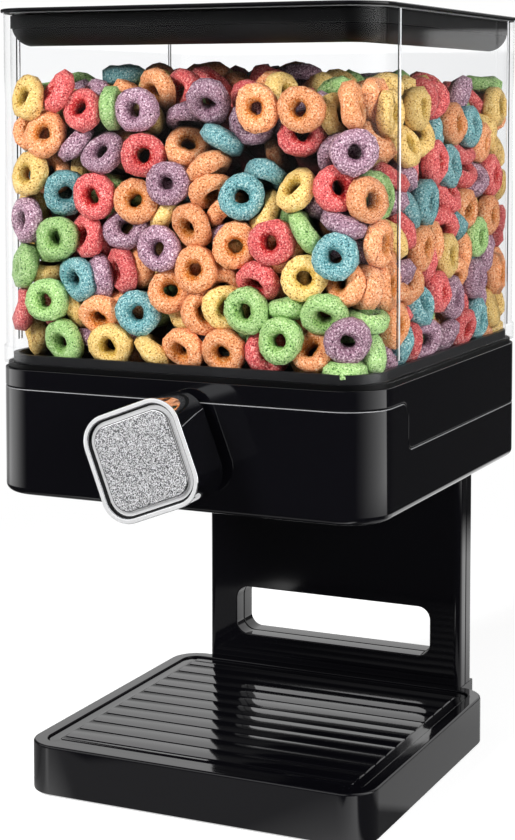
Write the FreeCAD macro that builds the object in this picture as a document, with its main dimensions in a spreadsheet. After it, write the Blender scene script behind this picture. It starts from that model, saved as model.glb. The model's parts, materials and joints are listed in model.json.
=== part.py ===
import FreeCAD, Part
import math
import os
import re

import Sketcher

# Countertop dispenser for dry food: a clear canister on a black housing with a paddle
# wheel, carried by a flat stand plate behind a ribbed base. Millimetres, X to the right,
# Y to the rear, Z up from the table. X = 0 is the plane of symmetry.

SIZES = (
    # Plan of the housing, canister and lid.
    ("body_width", 160.0, "housing, left to right"),
    ("body_depth", 175.0, "housing, front to rear"),
    ("body_corner", 18.0, "radius of the housing's upright corners"),
    ("shell_wall", 2.5, "wall of every black moulding"),
    # Base.
    ("foot_proud", 0.8, "rubber foot below the base"),
    ("foot_sink", 1.2, "rubber foot inside the bottom plate"),
    ("foot_radius", 6.0, "rubber foot"),
    ("foot_inset", 12.0, "foot centre from the base's sides"),
    ("base_width", 146.0, "base, left to right"),
    ("base_depth", 141.0, "base, front to the stand plate"),
    ("base_corner", 12.5, "radius of the base's upright corners"),
    ("base_height", 19.5, "base, without its feet"),
    ("base_setback", 11.0, "base front behind the housing front"),
    ("base_edge_round", 1.0, "round on the base's upper edge"),
    ("rim_width", 5.6, "rim round the tray recess"),
    ("recess_depth", 5.0, "tray recess"),
    ("bottom_plate_thickness", 3.0, "closing plate under the base"),
    ("bottom_plate_gap", 0.3, "closing plate to the base wall"),
    ("bottom_plate_lift", 0.2, "closing plate above the base's lower edge"),
    ("base_screw_inset", 24.0, "base screw from the base's sides"),
    ("block_depth", 18.0, "block behind the tray that holds the stand plate"),
    ("block_drop", 1.2, "block top below the rim"),
    # Catch tray.
    ("tray_gap", 0.3, "tray to the recess wall"),
    ("tray_thickness", 4.2, "tray"),
    ("tray_border", 4.2, "flat border at the groove ends"),
    ("groove_first", 9.5, "first groove from the recess front"),
    ("groove_pitch", 10.9, "groove to groove"),
    ("groove_count", 11, "grooves in the tray"),
    ("groove_width", 1.2, "groove"),
    ("groove_depth", 1.0, "groove"),
    # Stand plate.
    ("panel_width", 120.0, "stand plate, left to right"),
    ("front_panel_thickness", 7.5, "front half of the stand plate"),
    ("rear_panel_thickness", 8.5, "rear half of the stand plate"),
    ("panel_seam", 0.4, "gap between the plate's halves"),
    ("panel_edge_round", 3.0, "round on the plate's upright edges"),
    ("panel_insertion", 20.0, "plate inside the housing"),
    ("panel_gap", 0.2, "plate to its sockets"),
    ("tenon_inset", 4.0, "tenon inside the plate's outline"),
    ("tenon_depth", 12.0, "tenon inside the block"),
    ("slot_width", 92.4, "hand slot"),
    ("slot_lift", 11.4, "hand slot above the rim of the base"),
    ("slot_height", 21.5, "hand slot"),
    ("slot_corner", 5.5, "hand slot corners"),
    ("panel_post_inset", 9.0, "plate screws from the plate's sides"),
    ("panel_post_radius", 4.0, "posts for the plate's screws"),
    ("panel_post_lift", 12.0, "lower plate screws above the slot"),
    ("panel_post_drop", 12.0, "upper plate screws below the housing"),
    ("head_screw_spread", 40.0, "housing to plate screws, from the middle"),
    ("head_screw_lift", 10.0, "housing to plate screws above the housing bottom"),
    # Housing.
    ("bowl_height", 101.0, "free height between base rim and housing"),
    ("housing_height", 48.5, "housing with its collar"),
    ("housing_edge_round", 3.0, "round on the housing's lower edge"),
    ("front_seam_height", 41.5, "seam at the front, above the housing bottom"),
    ("side_seam_height", 23.5, "seam at the sides and rear, above the housing bottom"),
    ("step_setback", 33.7, "step of the seam behind the housing front"),
    ("step_upper_round", 6.0, "upper curve of the step"),
    ("step_lower_round", 4.0, "lower curve of the step"),
    ("seam_gap", 0.4, "seam between the housing's halves"),
    ("ledge_width", 6.0, "ledge inside the collar"),
    ("ledge_thickness", 2.5, "ledge inside the collar"),
    ("ledge_corner", 16.0, "corner radius of the ledge's opening"),
    ("post_radius", 3.8, "housing screw posts"),
    ("post_inset", 10.0, "housing screw posts from the housing's sides"),
    ("post_joint_height", 18.7, "where the posts meet, above the housing bottom"),
    ("socket_wall", 2.0, "wall of the plate's socket in the housing"),
    ("socket_height", 16.0, "wall of the plate's socket above the floor"),
    # Screws.
    ("screw_radius", 1.4, "screw shank"),
    ("screw_head_radius", 2.8, "screw head"),
    ("screw_head_height", 1.8, "screw head"),
    ("screw_grip", 8.0, "screw inside its post"),
    ("screw_sink", 1.0, "screw head below the outer face"),
    ("screw_drive", 1.1, "hexagonal drive, across the corners"),
    ("screw_drive_depth", 1.0, "hexagonal drive"),
    ("screw_gap", 0.3, "screw to its clearance hole"),
    # Wheel chamber.
    ("axis_height", 22.7, "knob axis above the housing bottom"),
    ("vane_radius", 20.9, "tip of the soft vanes"),
    ("vane_gap", 0.6, "vanes to the chamber"),
    ("vane_count", 6, "soft vanes"),
    ("vane_thickness", 1.6, "soft vane"),
    ("vane_end_gap", 0.8, "vanes and hub to the chamber's ends"),
    ("chamber_length", 58.0, "chamber, front to rear"),
    ("chamber_wall", 3.0, "chamber walls"),
    ("chamber_rise", 9.0, "chamber top above the axis"),
    ("outlet_width", 28.0, "outlet, left to right"),
    ("outlet_wall", 2.0, "walls of the spout"),
    ("spout_drop", 8.0, "spout below the housing"),
    ("spout_gap", 0.3, "spout to the housing floor"),
    ("tab_reach", 10.0, "chute tabs beyond the chamber"),
    ("tab_half_length", 5.0, "chute tab, half of its length"),
    ("tab_spread", 18.0, "chute tabs from the chamber's middle"),
    ("tab_lift", 5.0, "chute tabs above the housing floor"),
    ("tab_thickness", 3.0, "chute tabs"),
    ("tab_screw_inset", 5.0, "chute screw from the tab's end"),
    # Shaft and bushes.
    ("shaft_radius", 4.0, "drive shaft"),
    ("shaft_flat", 3.3, "flat of the shaft from its axis"),
    ("bush_gap", 0.05, "running fit of the shaft"),
    ("bush_wall", 3.0, "bush"),
    ("bush_flange", 1.5, "bush flange beyond the bush"),
    ("bush_flange_thickness", 1.5, "bush flange"),
    ("bush_tail", 4.0, "bush beyond the wall that holds it"),
    ("hub_radius", 10.0, "paddle hub"),
    ("fit_gap", 0.1, "pieces pushed on the shaft"),
    ("clip_radius", 7.0, "retaining clip"),
    ("clip_thickness", 1.0, "retaining clip"),
    ("clip_gap", 0.2, "retaining clip to the rear bush"),
    ("shaft_tail", 1.5, "shaft beyond its clip"),
    # Knob.
    ("knob_projection", 25.6, "knob front before the housing"),
    ("knob_side", 40.6, "knob, square front"),
    ("knob_corner", 10.5, "knob corners"),
    ("knob_turn", 21.0, "knob's turn in the rest position, degrees"),
    ("knob_draft", 1.2, "draft of the knob's sides, degrees"),
    ("knob_standoff", 4.0, "knob cap to the housing"),
    ("knob_wall", 2.0, "knob cap walls"),
    ("knob_front_wall", 4.0, "knob cap front wall, behind the plate"),
    ("knob_rim", 1.8, "raised rim round the knob's front"),
    ("knob_groove", 2.2, "groove inside the rim"),
    ("knob_groove_depth", 1.8, "groove inside the rim"),
    ("insert_thickness", 1.3, "textured plate"),
    ("neck_radius", 13.0, "black neck of the knob"),
    ("neck_overlap", 2.0, "neck inside the cap"),
    ("boss_radius", 8.0, "knob hub's boss inside the cap"),
    ("hub_web", 2.0, "knob hub before the shaft's end"),
    ("washer_thickness", 0.4, "sliding washer"),
    ("washer_gap", 0.1, "sliding washer to the housing"),
    ("knob_screw_grip", 9.0, "knob screw inside the shaft"),
    # Canister and gasket.
    ("canister_inset", 0.4, "canister wall inside the housing's outline"),
    ("canister_wall", 2.5, "clear wall"),
    ("canister_height", 134.2, "canister"),
    ("flange_height", 6.5, "thick lower edge of the canister"),
    ("flange_flare", 0.8, "lower edge beyond the canister wall"),
    ("gasket_height", 1.9, "gasket between collar and canister"),
    ("gasket_recess", 1.2, "gasket inside the housing's outline"),
    # Funnel.
    ("funnel_gap", 0.3, "funnel rim to the canister"),
    ("funnel_wall", 2.0, "funnel"),
    ("funnel_rise", 5.3, "funnel rim above the collar"),
    ("funnel_ledge_gap", 1.0, "funnel slope to the ledge's opening"),
    ("funnel_foot", 2.5, "funnel's lower end beyond the throat"),
    ("funnel_throat_corner", 1.5, "corner radius of the throat"),
    # Lid.
    ("lid_overhang", 0.8, "lid beyond the housing's outline"),
    ("lid_thickness", 1.4, "lid flange"),
    ("lid_wall", 2.0, "lid tub wall"),
    ("tub_gap", 0.5, "lid tub to the canister"),
    ("tub_depth", 12.8, "lid tub below the flange"),
    ("tub_round", 8.5, "round on the tub's lower edge"),
    ("seal_height", 4.7, "lid seal"),
    ("seal_drop", 1.2, "lid seal below the flange"),
    ("seal_bite", 1.0, "lid seal inside the tub wall"),
    ("seal_gap", 0.05, "lid seal to the canister"),
    ("grip_width", 24.0, "grip bar across the lid"),
    ("grip_drop", 1.0, "grip bar below the lid's top"),
)

PLACES = {
    "body_front": "-(body_depth + lid_overhang - knob_projection) / 2",
    "body_rear": "body_front + body_depth",
    "body_middle": "body_front + body_depth / 2",
    # Levels from the table up.
    "base_low": "foot_proud",
    "base_top": "base_low + base_height",
    "recess_floor": "base_top - recess_depth",
    "plate_low": "base_low + bottom_plate_lift",
    "plate_high": "plate_low + bottom_plate_thickness",
    "block_top": "base_top - block_drop",
    "slot_low": "base_top + slot_lift",
    "slot_high": "slot_low + slot_height",
    "housing_low": "base_top + bowl_height",
    "floor_top": "housing_low + shell_wall",
    "side_seam": "housing_low + side_seam_height",
    "front_seam": "housing_low + front_seam_height",
    "collar_top": "housing_low + housing_height",
    "ledge_low": "collar_top - ledge_thickness",
    "post_joint": "housing_low + post_joint_height",
    "axis_level": "housing_low + axis_height",
    "panel_top": "housing_low + panel_insertion",
    "canister_low": "collar_top + gasket_height",
    "flange_top": "canister_low + flange_height",
    "canister_top": "canister_low + canister_height",
    "lid_top": "canister_top + lid_thickness",
    "tub_low": "canister_top - tub_depth",
    "seal_top": "canister_top - seal_drop",
    # Front to rear.
    "base_front": "body_front + base_setback",
    "base_rear": "base_front + base_depth",
    "block_rear": "base_rear + block_depth",
    "recess_front": "base_front + rim_width",
    "step_level": "body_front + step_setback",
    "panel_front": "base_rear",
    "front_panel_rear": "panel_front + front_panel_thickness",
    "rear_panel_front": "front_panel_rear + panel_seam",
    "panel_rear": "rear_panel_front + rear_panel_thickness",
    "chamber_front": "body_middle - chamber_length / 2",
    "chamber_rear": "body_middle + chamber_length / 2",
    "bush_rear": "chamber_rear + chamber_wall + bush_tail",
    "clip_front": "bush_rear + clip_gap",
    "clip_rear": "clip_front + clip_thickness",
    "knob_front": "body_front - knob_projection",
    "groove_floor": "knob_front + knob_groove_depth",
    "cap_inside": "groove_floor + knob_front_wall",
    "cap_rear": "body_front - knob_standoff",
    "washer_rear": "body_front - washer_gap",
    "washer_front": "washer_rear - washer_thickness",
    "shaft_front": "cap_inside + hub_web",
    "shaft_rear": "clip_rear + shaft_tail",
    # Across.
    "chamber_bore": "vane_radius + vane_gap",
    "chamber_half": "chamber_bore + chamber_wall",
    "spout_half": "outlet_width / 2 + outlet_wall",
    "bush_radius": "shaft_radius + bush_gap + bush_wall",
    "tab_screw_side": "chamber_half + tab_reach - tab_screw_inset",
    "funnel_inset": "canister_inset + canister_wall + funnel_gap",
    "slope_inset": "shell_wall + ledge_width + funnel_ledge_gap",
    "tub_inset": "canister_inset + canister_wall + tub_gap",
    "insert_side": "knob_side - 2 * (knob_rim + knob_groove)",
    "insert_corner": "knob_corner - knob_rim - knob_groove",
}

SKETCH_PLANES = {"X": "YZ_Plane", "Y": "XZ_Plane", "Z": "XY_Plane"}
NAMES = {alias for alias, value, note in SIZES}


def formula(text):
    """Spell a formula of sizes and places for the spreadsheet."""
    def spell(found):
        word = found.group(0)
        if word in PLACES:
            return "(" + formula(PLACES[word]) + ")"
        return "Sizes." + word if word in NAMES else word
    return re.sub(r"[a-z_]+", spell, str(text))


def number(text):
    """The present value of a formula."""
    return float(sheet.evalExpression(formula(text)))


def box_loop(left, right, low, high, corner="0"):
    """A rectangle whose corners share one radius."""
    return [(left, low, corner), (right, low, corner), (right, high, corner), (left, high, corner)]


def centred_loop(half, low, high, corner="0"):
    """A rectangle that is centred across."""
    return box_loop(f"-({half})", half, low, high, corner)


def body_plan(inset, corner=None):
    """The housing's outline from above, moved inwards."""
    corner = corner or f"body_corner - ({inset})"
    return centred_loop(
        f"body_width / 2 - ({inset})", f"body_front + ({inset})", f"body_rear - ({inset})", corner)


def base_plan(inset):
    """The base's outline from above, moved inwards."""
    return centred_loop(
        f"base_width / 2 - ({inset})", f"base_front + ({inset})", f"base_rear - ({inset})",
        f"base_corner - ({inset})")


def slot_loop(outset="0"):
    """The hand slot's outline from the front, moved outwards."""
    return centred_loop(
        f"slot_width / 2 + ({outset})", f"slot_low - ({outset})", f"slot_high + ({outset})",
        f"slot_corner + ({outset})")


def four_places(side, low, high):
    """Four points, mirrored left and right."""
    return [(f"-({side})", low), (side, low), (side, high), (f"-({side})", high)]


def circles(places, radius):
    """One circle at each of the places."""
    return [(across, up, radius) for across, up in places]


def bind(sketch, constraint, text):
    """Add a constraint whose value follows a formula."""
    index = sketch.addConstraint(constraint)
    name = "size_%d" % index
    sketch.renameConstraint(index, name)
    sketch.setExpression("Constraints." + name, formula(text))


def hold_point(sketch, geometry, position, across, up):
    """Hold a point of a sketch at two formulas from its origin."""
    bind(sketch, Sketcher.Constraint("DistanceX", -1, 1, geometry, position, number(across)), across)
    bind(sketch, Sketcher.Constraint("DistanceY", -1, 1, geometry, position, number(up)), up)


def draw_circle(sketch, across, up, radius):
    """Draw a circle held by its centre and radius."""
    centre = FreeCAD.Vector(number(across), number(up), 0)
    circle = sketch.addGeometry(Part.Circle(centre, FreeCAD.Vector(0, 0, 1), number(radius)), False)
    bind(sketch, Sketcher.Constraint("Radius", circle, number(radius)), radius)
    hold_point(sketch, circle, 3, across, up)


def draw_loop(sketch, corners):
    """Draw a closed line whose corners are held in place, with arcs where they are rounded."""
    count = len(corners)
    points = [FreeCAD.Vector(number(across), number(up), 0) for across, up, radius in corners]
    radii = [number(radius) for across, up, radius in corners]
    arrive = []
    leave = []
    for index in range(count):
        before = (points[index - 1] - points[index]).normalize()
        after = (points[(index + 1) % count] - points[index]).normalize()
        cut = radii[index] / math.tan(before.getAngle(after) / 2)
        arrive.append(points[index] + before * cut)
        leave.append(points[index] + after * cut)
    lines = []
    for index in range(count):
        line = Part.LineSegment(leave[index], arrive[(index + 1) % count])
        lines.append(sketch.addGeometry(line, False))
    for index in range(count):
        across, up, radius = corners[index]
        incoming = lines[index - 1]
        outgoing = lines[index]
        if radii[index] == 0:
            sketch.addConstraint(Sketcher.Constraint("Coincident", incoming, 2, outgoing, 1))
            hold_point(sketch, outgoing, 1, across, up)
            continue
        middle = (arrive[index] + leave[index]) / 2
        inward = (middle - points[index]).normalize()
        reach = (arrive[index] - points[index]).Length
        centre = points[index] + inward * math.hypot(reach, radii[index])
        turn = (points[index] - points[index - 1]).cross(points[(index + 1) % count] - points[index])
        first, last = (arrive, leave) if turn.z > 0 else (leave, arrive)
        start = first[index] - centre
        end = last[index] - centre
        circle = Part.Circle(centre, FreeCAD.Vector(0, 0, 1), radii[index])
        arc = sketch.addGeometry(
            Part.ArcOfCircle(circle, math.atan2(start.y, start.x), math.atan2(end.y, end.x)), False)
        ends = (1, 2) if turn.z > 0 else (2, 1)
        sketch.addConstraint(Sketcher.Constraint("Tangent", incoming, 2, arc, ends[0]))
        sketch.addConstraint(Sketcher.Constraint("Tangent", arc, ends[1], outgoing, 1))
        bind(sketch, Sketcher.Constraint("Radius", arc, radii[index]), radius)
        corner = sketch.addGeometry(Part.Point(points[index]), True)
        sketch.addConstraint(Sketcher.Constraint("PointOnObject", corner, 1, incoming))
        sketch.addConstraint(Sketcher.Constraint("PointOnObject", corner, 1, outgoing))
        hold_point(sketch, corner, 1, across, up)


class Piece:
    """One separate piece, as a body whose features add or remove a span along an axis."""

    def __init__(self, label, at_axis=False, turned=False):
        self.label = label
        self.body = doc.addObject("PartDesign::Body", label)
        self.body.Label = label
        if at_axis:
            self.body.setExpression("Placement.Base.z", formula("axis_level"))
        if turned:
            self.body.Placement.Rotation = FreeCAD.Rotation(FreeCAD.Vector(0, -1, 0), number("knob_turn"))
            self.body.setExpression("Placement.Rotation.Angle", formula("knob_turn"))
        PIECES.append(self)

    def sketch(self, axis, level, loops):
        """A sketch square to an axis, with one or more closed loops."""
        name = "%s_sketch_%d" % (self.label, len(self.body.Group))
        sketch = self.body.newObject("Sketcher::SketchObject", name)
        planes = self.body.Origin.OriginFeatures
        plane = [entry for entry in planes if entry.Role == SKETCH_PLANES[axis]][0]
        sketch.AttachmentSupport = [(plane, "")]
        sketch.MapMode = "FlatFace"
        facing = "-" if axis == "Y" else ""
        sketch.setExpression("AttachmentOffset.Base.z", formula(f"{facing}({level})"))
        for loop in loops:
            if isinstance(loop, tuple):
                draw_circle(sketch, *loop)
            else:
                draw_loop(sketch, loop)
        return sketch

    def feature(self, kind, sketch, low, high):
        """A straight feature between two levels."""
        feature = self.body.newObject("PartDesign::" + kind, "%s_%s" % (sketch.Name, kind.lower()))
        feature.Profile = sketch
        feature.setExpression("Length", formula(f"({high}) - ({low})"))
        sketch.Visibility = False
        self.body.Tip = feature
        return feature

    def add(self, axis, low, high, *loops):
        """Fill the loops from one level to another."""
        return self.feature("Pad", self.sketch(axis, high if axis == "Y" else low, loops), low, high)

    def remove(self, axis, low, high, *loops):
        """Cut the loops away from one level to another."""
        return self.feature("Pocket", self.sketch(axis, low if axis == "Y" else high, loops), low, high)

    def loft(self, kind, upper, upper_level, lower, lower_level):
        """Join two outlines at different heights by straight walls."""
        first = self.sketch("Z", upper_level, [upper])
        second = self.sketch("Z", lower_level, [lower])
        feature = self.body.newObject("PartDesign::" + kind, "%s_%s" % (first.Name, kind.lower()))
        feature.Profile = first
        feature.Sections = [second]
        feature.Ruled = True
        self.body.Tip = feature
        return feature

    def edges(self, axis, level):
        """Names of the edges that lie at one level."""
        doc.recompute()
        value = number(level)
        names = []
        for index, edge in enumerate(self.body.Tip.Shape.Edges, start=1):
            box = edge.BoundBox
            span = {"X": (box.XMin, box.XMax), "Y": (box.YMin, box.YMax), "Z": (box.ZMin, box.ZMax)}[axis]
            if max(abs(span[0] - value), abs(span[1] - value)) < 1e-4:
                names.append("Edge%d" % index)
        return names

    def fillet(self, radius, axis, level):
        """Round every edge that lies at one level."""
        names = self.edges(axis, level)
        before = self.body.Tip
        feature = self.body.newObject("PartDesign::Fillet", self.label + "_fillet")
        feature.Base = (before, names)
        feature.setExpression("Radius", formula(radius))
        self.body.Tip = feature
        return feature

    def hollow(self, wall, level):
        """Leave a wall of one thickness, open at the face on one level."""
        doc.recompute()
        before = self.body.Tip
        faces = before.Shape.Faces
        value = number(level)
        names = ["Face%d" % index for index, face in enumerate(faces, start=1)
                 if max(abs(face.BoundBox.ZMin - value), abs(face.BoundBox.ZMax - value)) < 1e-4]
        feature = self.body.newObject("PartDesign::Thickness", self.label + "_hollow")
        feature.Base = (before, names)
        feature.Reversed = True
        feature.Join = "Intersection"
        feature.setExpression("Value", formula(wall))
        self.body.Tip = feature
        return feature


def screws(label, axis, places, seat, tip, head_below, at_axis=False):
    """A set of equal screws: heads on their seats, shanks to their tips."""
    piece = Piece(label, at_axis)
    if head_below:
        head = (f"({seat}) - screw_head_height", seat)
        drive = (head[0], f"({head[0]}) + screw_drive_depth")
        shank = (seat, tip)
    else:
        head = (seat, f"({seat}) + screw_head_height")
        drive = (f"({head[1]}) - screw_drive_depth", head[1])
        shank = (tip, seat)
    piece.add(axis, *head, *circles(places, "screw_head_radius"))
    piece.add(axis, *shank, *circles(places, "screw_radius"))
    flat = f"screw_drive * {math.sqrt(3) / 2:.6f}"
    for across, up in places:
        hexagon = [
            (f"({across}) + screw_drive", up, "0"),
            (f"({across}) + screw_drive / 2", f"({up}) + {flat}", "0"),
            (f"({across}) - screw_drive / 2", f"({up}) + {flat}", "0"),
            (f"({across}) - screw_drive", up, "0"),
            (f"({across}) - screw_drive / 2", f"({up}) - {flat}", "0"),
            (f"({across}) + screw_drive / 2", f"({up}) - {flat}", "0"),
        ]
        piece.remove(axis, *drive, hexagon)
    return piece


def screw_holes(piece, axis, places, seat, meeting, tip, outer, head_below):
    """Counterbores and clearance holes up to the meeting level, pilot holes beyond it."""
    if outer is not None:
        span = (outer, seat) if head_below else (seat, outer)
        piece.remove(axis, *span, *circles(places, "screw_head_radius + screw_gap"))
        span = (seat, meeting) if head_below else (meeting, seat)
        piece.remove(axis, *span, *circles(places, "screw_radius + screw_gap"))
    if tip is not None:
        span = (meeting, tip) if head_below else (tip, meeting)
        piece.remove(axis, *span, *circles(places, "screw_radius"))


PIECES = []
doc = FreeCAD.newDocument("CerealDispenser")
sheet = doc.addObject("Spreadsheet::Sheet", "Sizes")
for row, (alias, value, note) in enumerate(SIZES, start=1):
    sheet.set("A%d" % row, str(value))
    sheet.setAlias("A%d" % row, alias)
    sheet.set("B%d" % row, note)
doc.recompute()

# Places that several pieces share.
BASE_SCREWS = four_places(
    "base_width / 2 - base_screw_inset", "base_front + base_screw_inset", "base_rear - base_screw_inset")
FEET = four_places("base_width / 2 - foot_inset", "base_front + foot_inset", "base_rear - foot_inset")
HOUSING_POSTS = four_places(
    "body_width / 2 - post_inset", "body_front + post_inset", "body_rear - post_inset")
PANEL_POSTS = four_places(
    "panel_width / 2 - panel_post_inset", "slot_high + panel_post_lift", "housing_low - panel_post_drop")
HEAD_SCREWS = [("-head_screw_spread", "housing_low + head_screw_lift"),
               ("head_screw_spread", "housing_low + head_screw_lift")]
TENON_MIDDLE = "rear_panel_front + (rear_panel_thickness - tenon_inset) / 2"
FOOT_SCREWS = [("-head_screw_spread", TENON_MIDDLE), ("head_screw_spread", TENON_MIDDLE)]
CHUTE_SCREWS = four_places("tab_screw_side", "body_middle - tab_spread", "body_middle + tab_spread")
AXIS = ("0", "0")

# Base with the tray recess, the hollow underneath, screw bosses and the block with its socket.
base = Piece("base_shell")
base.add("Z", "base_low", "base_top", base_plan("0"))
base.fillet("base_edge_round", "Z", "base_top")
base.add("Z", "base_low", "block_top", centred_loop(
    "panel_width / 2", "base_rear - shell_wall", "block_rear"))
base.remove("Z", "recess_floor", "base_top", base_plan("rim_width"))
base.remove("Z", "base_low", "recess_floor - shell_wall", base_plan("shell_wall"))
base.add("Z", "plate_high", "recess_floor - shell_wall", *circles(BASE_SCREWS, "post_radius"))
base.remove("Z", "plate_high", "recess_floor - shell_wall", *circles(BASE_SCREWS, "screw_radius"))
base.remove("Z", "block_top - tenon_depth - panel_gap", "block_top", centred_loop(
    "panel_width / 2 - tenon_inset + panel_gap", "panel_front + tenon_inset - panel_gap",
    "panel_rear - tenon_inset + panel_gap"))
FOOT_SCREW_SEAT = "base_low + screw_sink + screw_head_height"
screw_holes(base, "Z", FOOT_SCREWS, FOOT_SCREW_SEAT, "block_top - tenon_depth", None, "base_low", True)

bottom = Piece("base_bottom_plate")
bottom.add("Z", "plate_low", "plate_high", base_plan("shell_wall + bottom_plate_gap"))
bottom.remove("Z", "plate_low", "base_low + foot_sink", *circles(FEET, "foot_radius"))
BASE_SCREW_SEAT = "plate_low + screw_head_height"
screw_holes(bottom, "Z", BASE_SCREWS, BASE_SCREW_SEAT, "plate_high", None, "plate_low", True)

feet = Piece("base_feet")
feet.add("Z", "0", "base_low + foot_sink", *circles(FEET, "foot_radius"))

screws("base_screws", "Z", BASE_SCREWS, BASE_SCREW_SEAT, "recess_floor - shell_wall", True)

tray = Piece("catch_tray")
GROOVE_MIDDLE = "recess_front + groove_first"
TRAY_TOP = "recess_floor + tray_thickness"
tray.add("Z", "recess_floor", TRAY_TOP, base_plan("rim_width + tray_gap"))
tray.remove("Z", f"{TRAY_TOP} - groove_depth", TRAY_TOP, centred_loop(
    "base_width / 2 - rim_width - tray_border", f"{GROOVE_MIDDLE} - groove_width / 2",
    f"{GROOVE_MIDDLE} + groove_width / 2"))
groove = tray.body.Tip
pattern = tray.body.newObject("PartDesign::LinearPattern", "catch_tray_grooves")
pattern.Originals = [groove]
pattern.Direction = (groove.Profile[0], ["V_Axis"])
pattern.setExpression("Length", formula("groove_pitch * (groove_count - 1)"))
pattern.setExpression("Occurrences", formula("groove_count"))
tray.body.Tip = pattern

# Stand plate: two shells, closed against each other, with the hand slot through both.
front_panel = Piece("stand_front_panel")
front_panel.add("Z", "block_top", "panel_top", [
    ("-panel_width / 2", "panel_front", "panel_edge_round"),
    ("panel_width / 2", "panel_front", "panel_edge_round"),
    ("panel_width / 2", "front_panel_rear", "0"),
    ("-panel_width / 2", "front_panel_rear", "0")])
front_panel.add("Z", "block_top - tenon_depth", "block_top", centred_loop(
    "panel_width / 2 - tenon_inset", "panel_front + tenon_inset", "front_panel_rear"))
front_panel.remove("Y", "panel_front", "front_panel_rear", slot_loop())
PANEL_HOLLOW = centred_loop(
    "panel_width / 2 - shell_wall", "block_top + shell_wall", "panel_top - shell_wall")
front_panel.remove(
    "Y", "panel_front + shell_wall", "front_panel_rear", PANEL_HOLLOW, slot_loop("shell_wall"),
    *circles(PANEL_POSTS, "panel_post_radius"), *circles(HEAD_SCREWS, "panel_post_radius"))
PANEL_SCREW_SEAT = "panel_rear - screw_sink - screw_head_height"
PANEL_SCREW_TIP = "panel_front + shell_wall"
screw_holes(front_panel, "Y", PANEL_POSTS, PANEL_SCREW_SEAT, "front_panel_rear", PANEL_SCREW_TIP, None, False)

rear_panel = Piece("stand_rear_panel")
rear_panel.add("Z", "block_top", "panel_top", [
    ("-panel_width / 2", "rear_panel_front", "0"),
    ("panel_width / 2", "rear_panel_front", "0"),
    ("panel_width / 2", "panel_rear", "panel_edge_round"),
    ("-panel_width / 2", "panel_rear", "panel_edge_round")])
rear_panel.add("Z", "block_top - tenon_depth", "block_top", centred_loop(
    "panel_width / 2 - tenon_inset", "rear_panel_front", "panel_rear - tenon_inset"))
rear_panel.remove("Y", "rear_panel_front", "panel_rear", slot_loop())
rear_panel.remove(
    "Y", "rear_panel_front", "panel_rear - shell_wall", PANEL_HOLLOW, slot_loop("shell_wall"),
    *circles(PANEL_POSTS, "panel_post_radius"), *circles(HEAD_SCREWS, "panel_post_radius"))
screw_holes(rear_panel, "Y", PANEL_POSTS, PANEL_SCREW_SEAT, "rear_panel_front", None, "panel_rear", False)
rear_panel.remove("Y", "rear_panel_front", "panel_rear", *circles(HEAD_SCREWS, "screw_radius"))
rear_panel.remove(
    "Z", "block_top - tenon_depth", "block_top - screw_sink", *circles(FOOT_SCREWS, "screw_radius"))

screws("stand_screws", "Y", PANEL_POSTS, PANEL_SCREW_SEAT, PANEL_SCREW_TIP, False)
screws("stand_foot_screws", "Z", FOOT_SCREWS, FOOT_SCREW_SEAT, "block_top - screw_sink", True)

# Lower half of the housing: floor, wall with the stepped seam, plate socket, posts, openings.
lower = Piece("lower_housing")
lower.add("Z", "housing_low", "front_seam - seam_gap", body_plan("0"))
lower.fillet("housing_edge_round", "Z", "housing_low")
lower.remove("Z", "floor_top", "front_seam - seam_gap", body_plan("shell_wall"))
LOWER_STEP = "step_level - seam_gap"
lower.remove("X", "-body_width / 2 - lid_overhang", "body_width / 2 + lid_overhang", [
    (f"{LOWER_STEP} - 2 * step_upper_round", "front_seam - seam_gap", "0"),
    (LOWER_STEP, "front_seam - seam_gap", "step_upper_round"),
    (LOWER_STEP, "side_seam - seam_gap", "step_lower_round"),
    ("body_rear + lid_overhang", "side_seam - seam_gap", "0"),
    ("body_rear + lid_overhang", "collar_top", "0"),
    (f"{LOWER_STEP} - 2 * step_upper_round", "collar_top", "0")])
lower.add("Z", "floor_top", "post_joint", *circles(HOUSING_POSTS, "post_radius"))
lower.add("Z", "floor_top", "floor_top + socket_height", centred_loop(
    "panel_width / 2 + panel_gap + socket_wall", "panel_front - panel_gap - socket_wall",
    "body_rear - shell_wall"))
lower.remove("Z", "housing_low", "floor_top + socket_height", centred_loop(
    "panel_width / 2 + panel_gap", "panel_front - panel_gap", "panel_rear + panel_gap"))
lower.add("Z", "floor_top", "floor_top + tab_lift", *circles(CHUTE_SCREWS, "post_radius"))
lower.remove("Z", "housing_low + screw_sink", "floor_top + tab_lift", *circles(CHUTE_SCREWS, "screw_radius"))
lower.remove("Z", "housing_low", "floor_top", centred_loop(
    "spout_half + spout_gap", "chamber_front - outlet_wall - spout_gap",
    "chamber_rear + outlet_wall + spout_gap"))
lower.remove("Y", "body_front", "body_front + shell_wall", ("0", "axis_level", "bush_radius"))
HOUSING_SCREW_SEAT = "housing_low + screw_sink + screw_head_height"
screw_holes(lower, "Z", HOUSING_POSTS, HOUSING_SCREW_SEAT, "post_joint", None, "housing_low", True)
HEAD_SCREW_SEAT = "body_rear - screw_sink - screw_head_height"
screw_holes(lower, "Y", HEAD_SCREWS, HEAD_SCREW_SEAT, "panel_rear", None, "body_rear", False)

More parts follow.
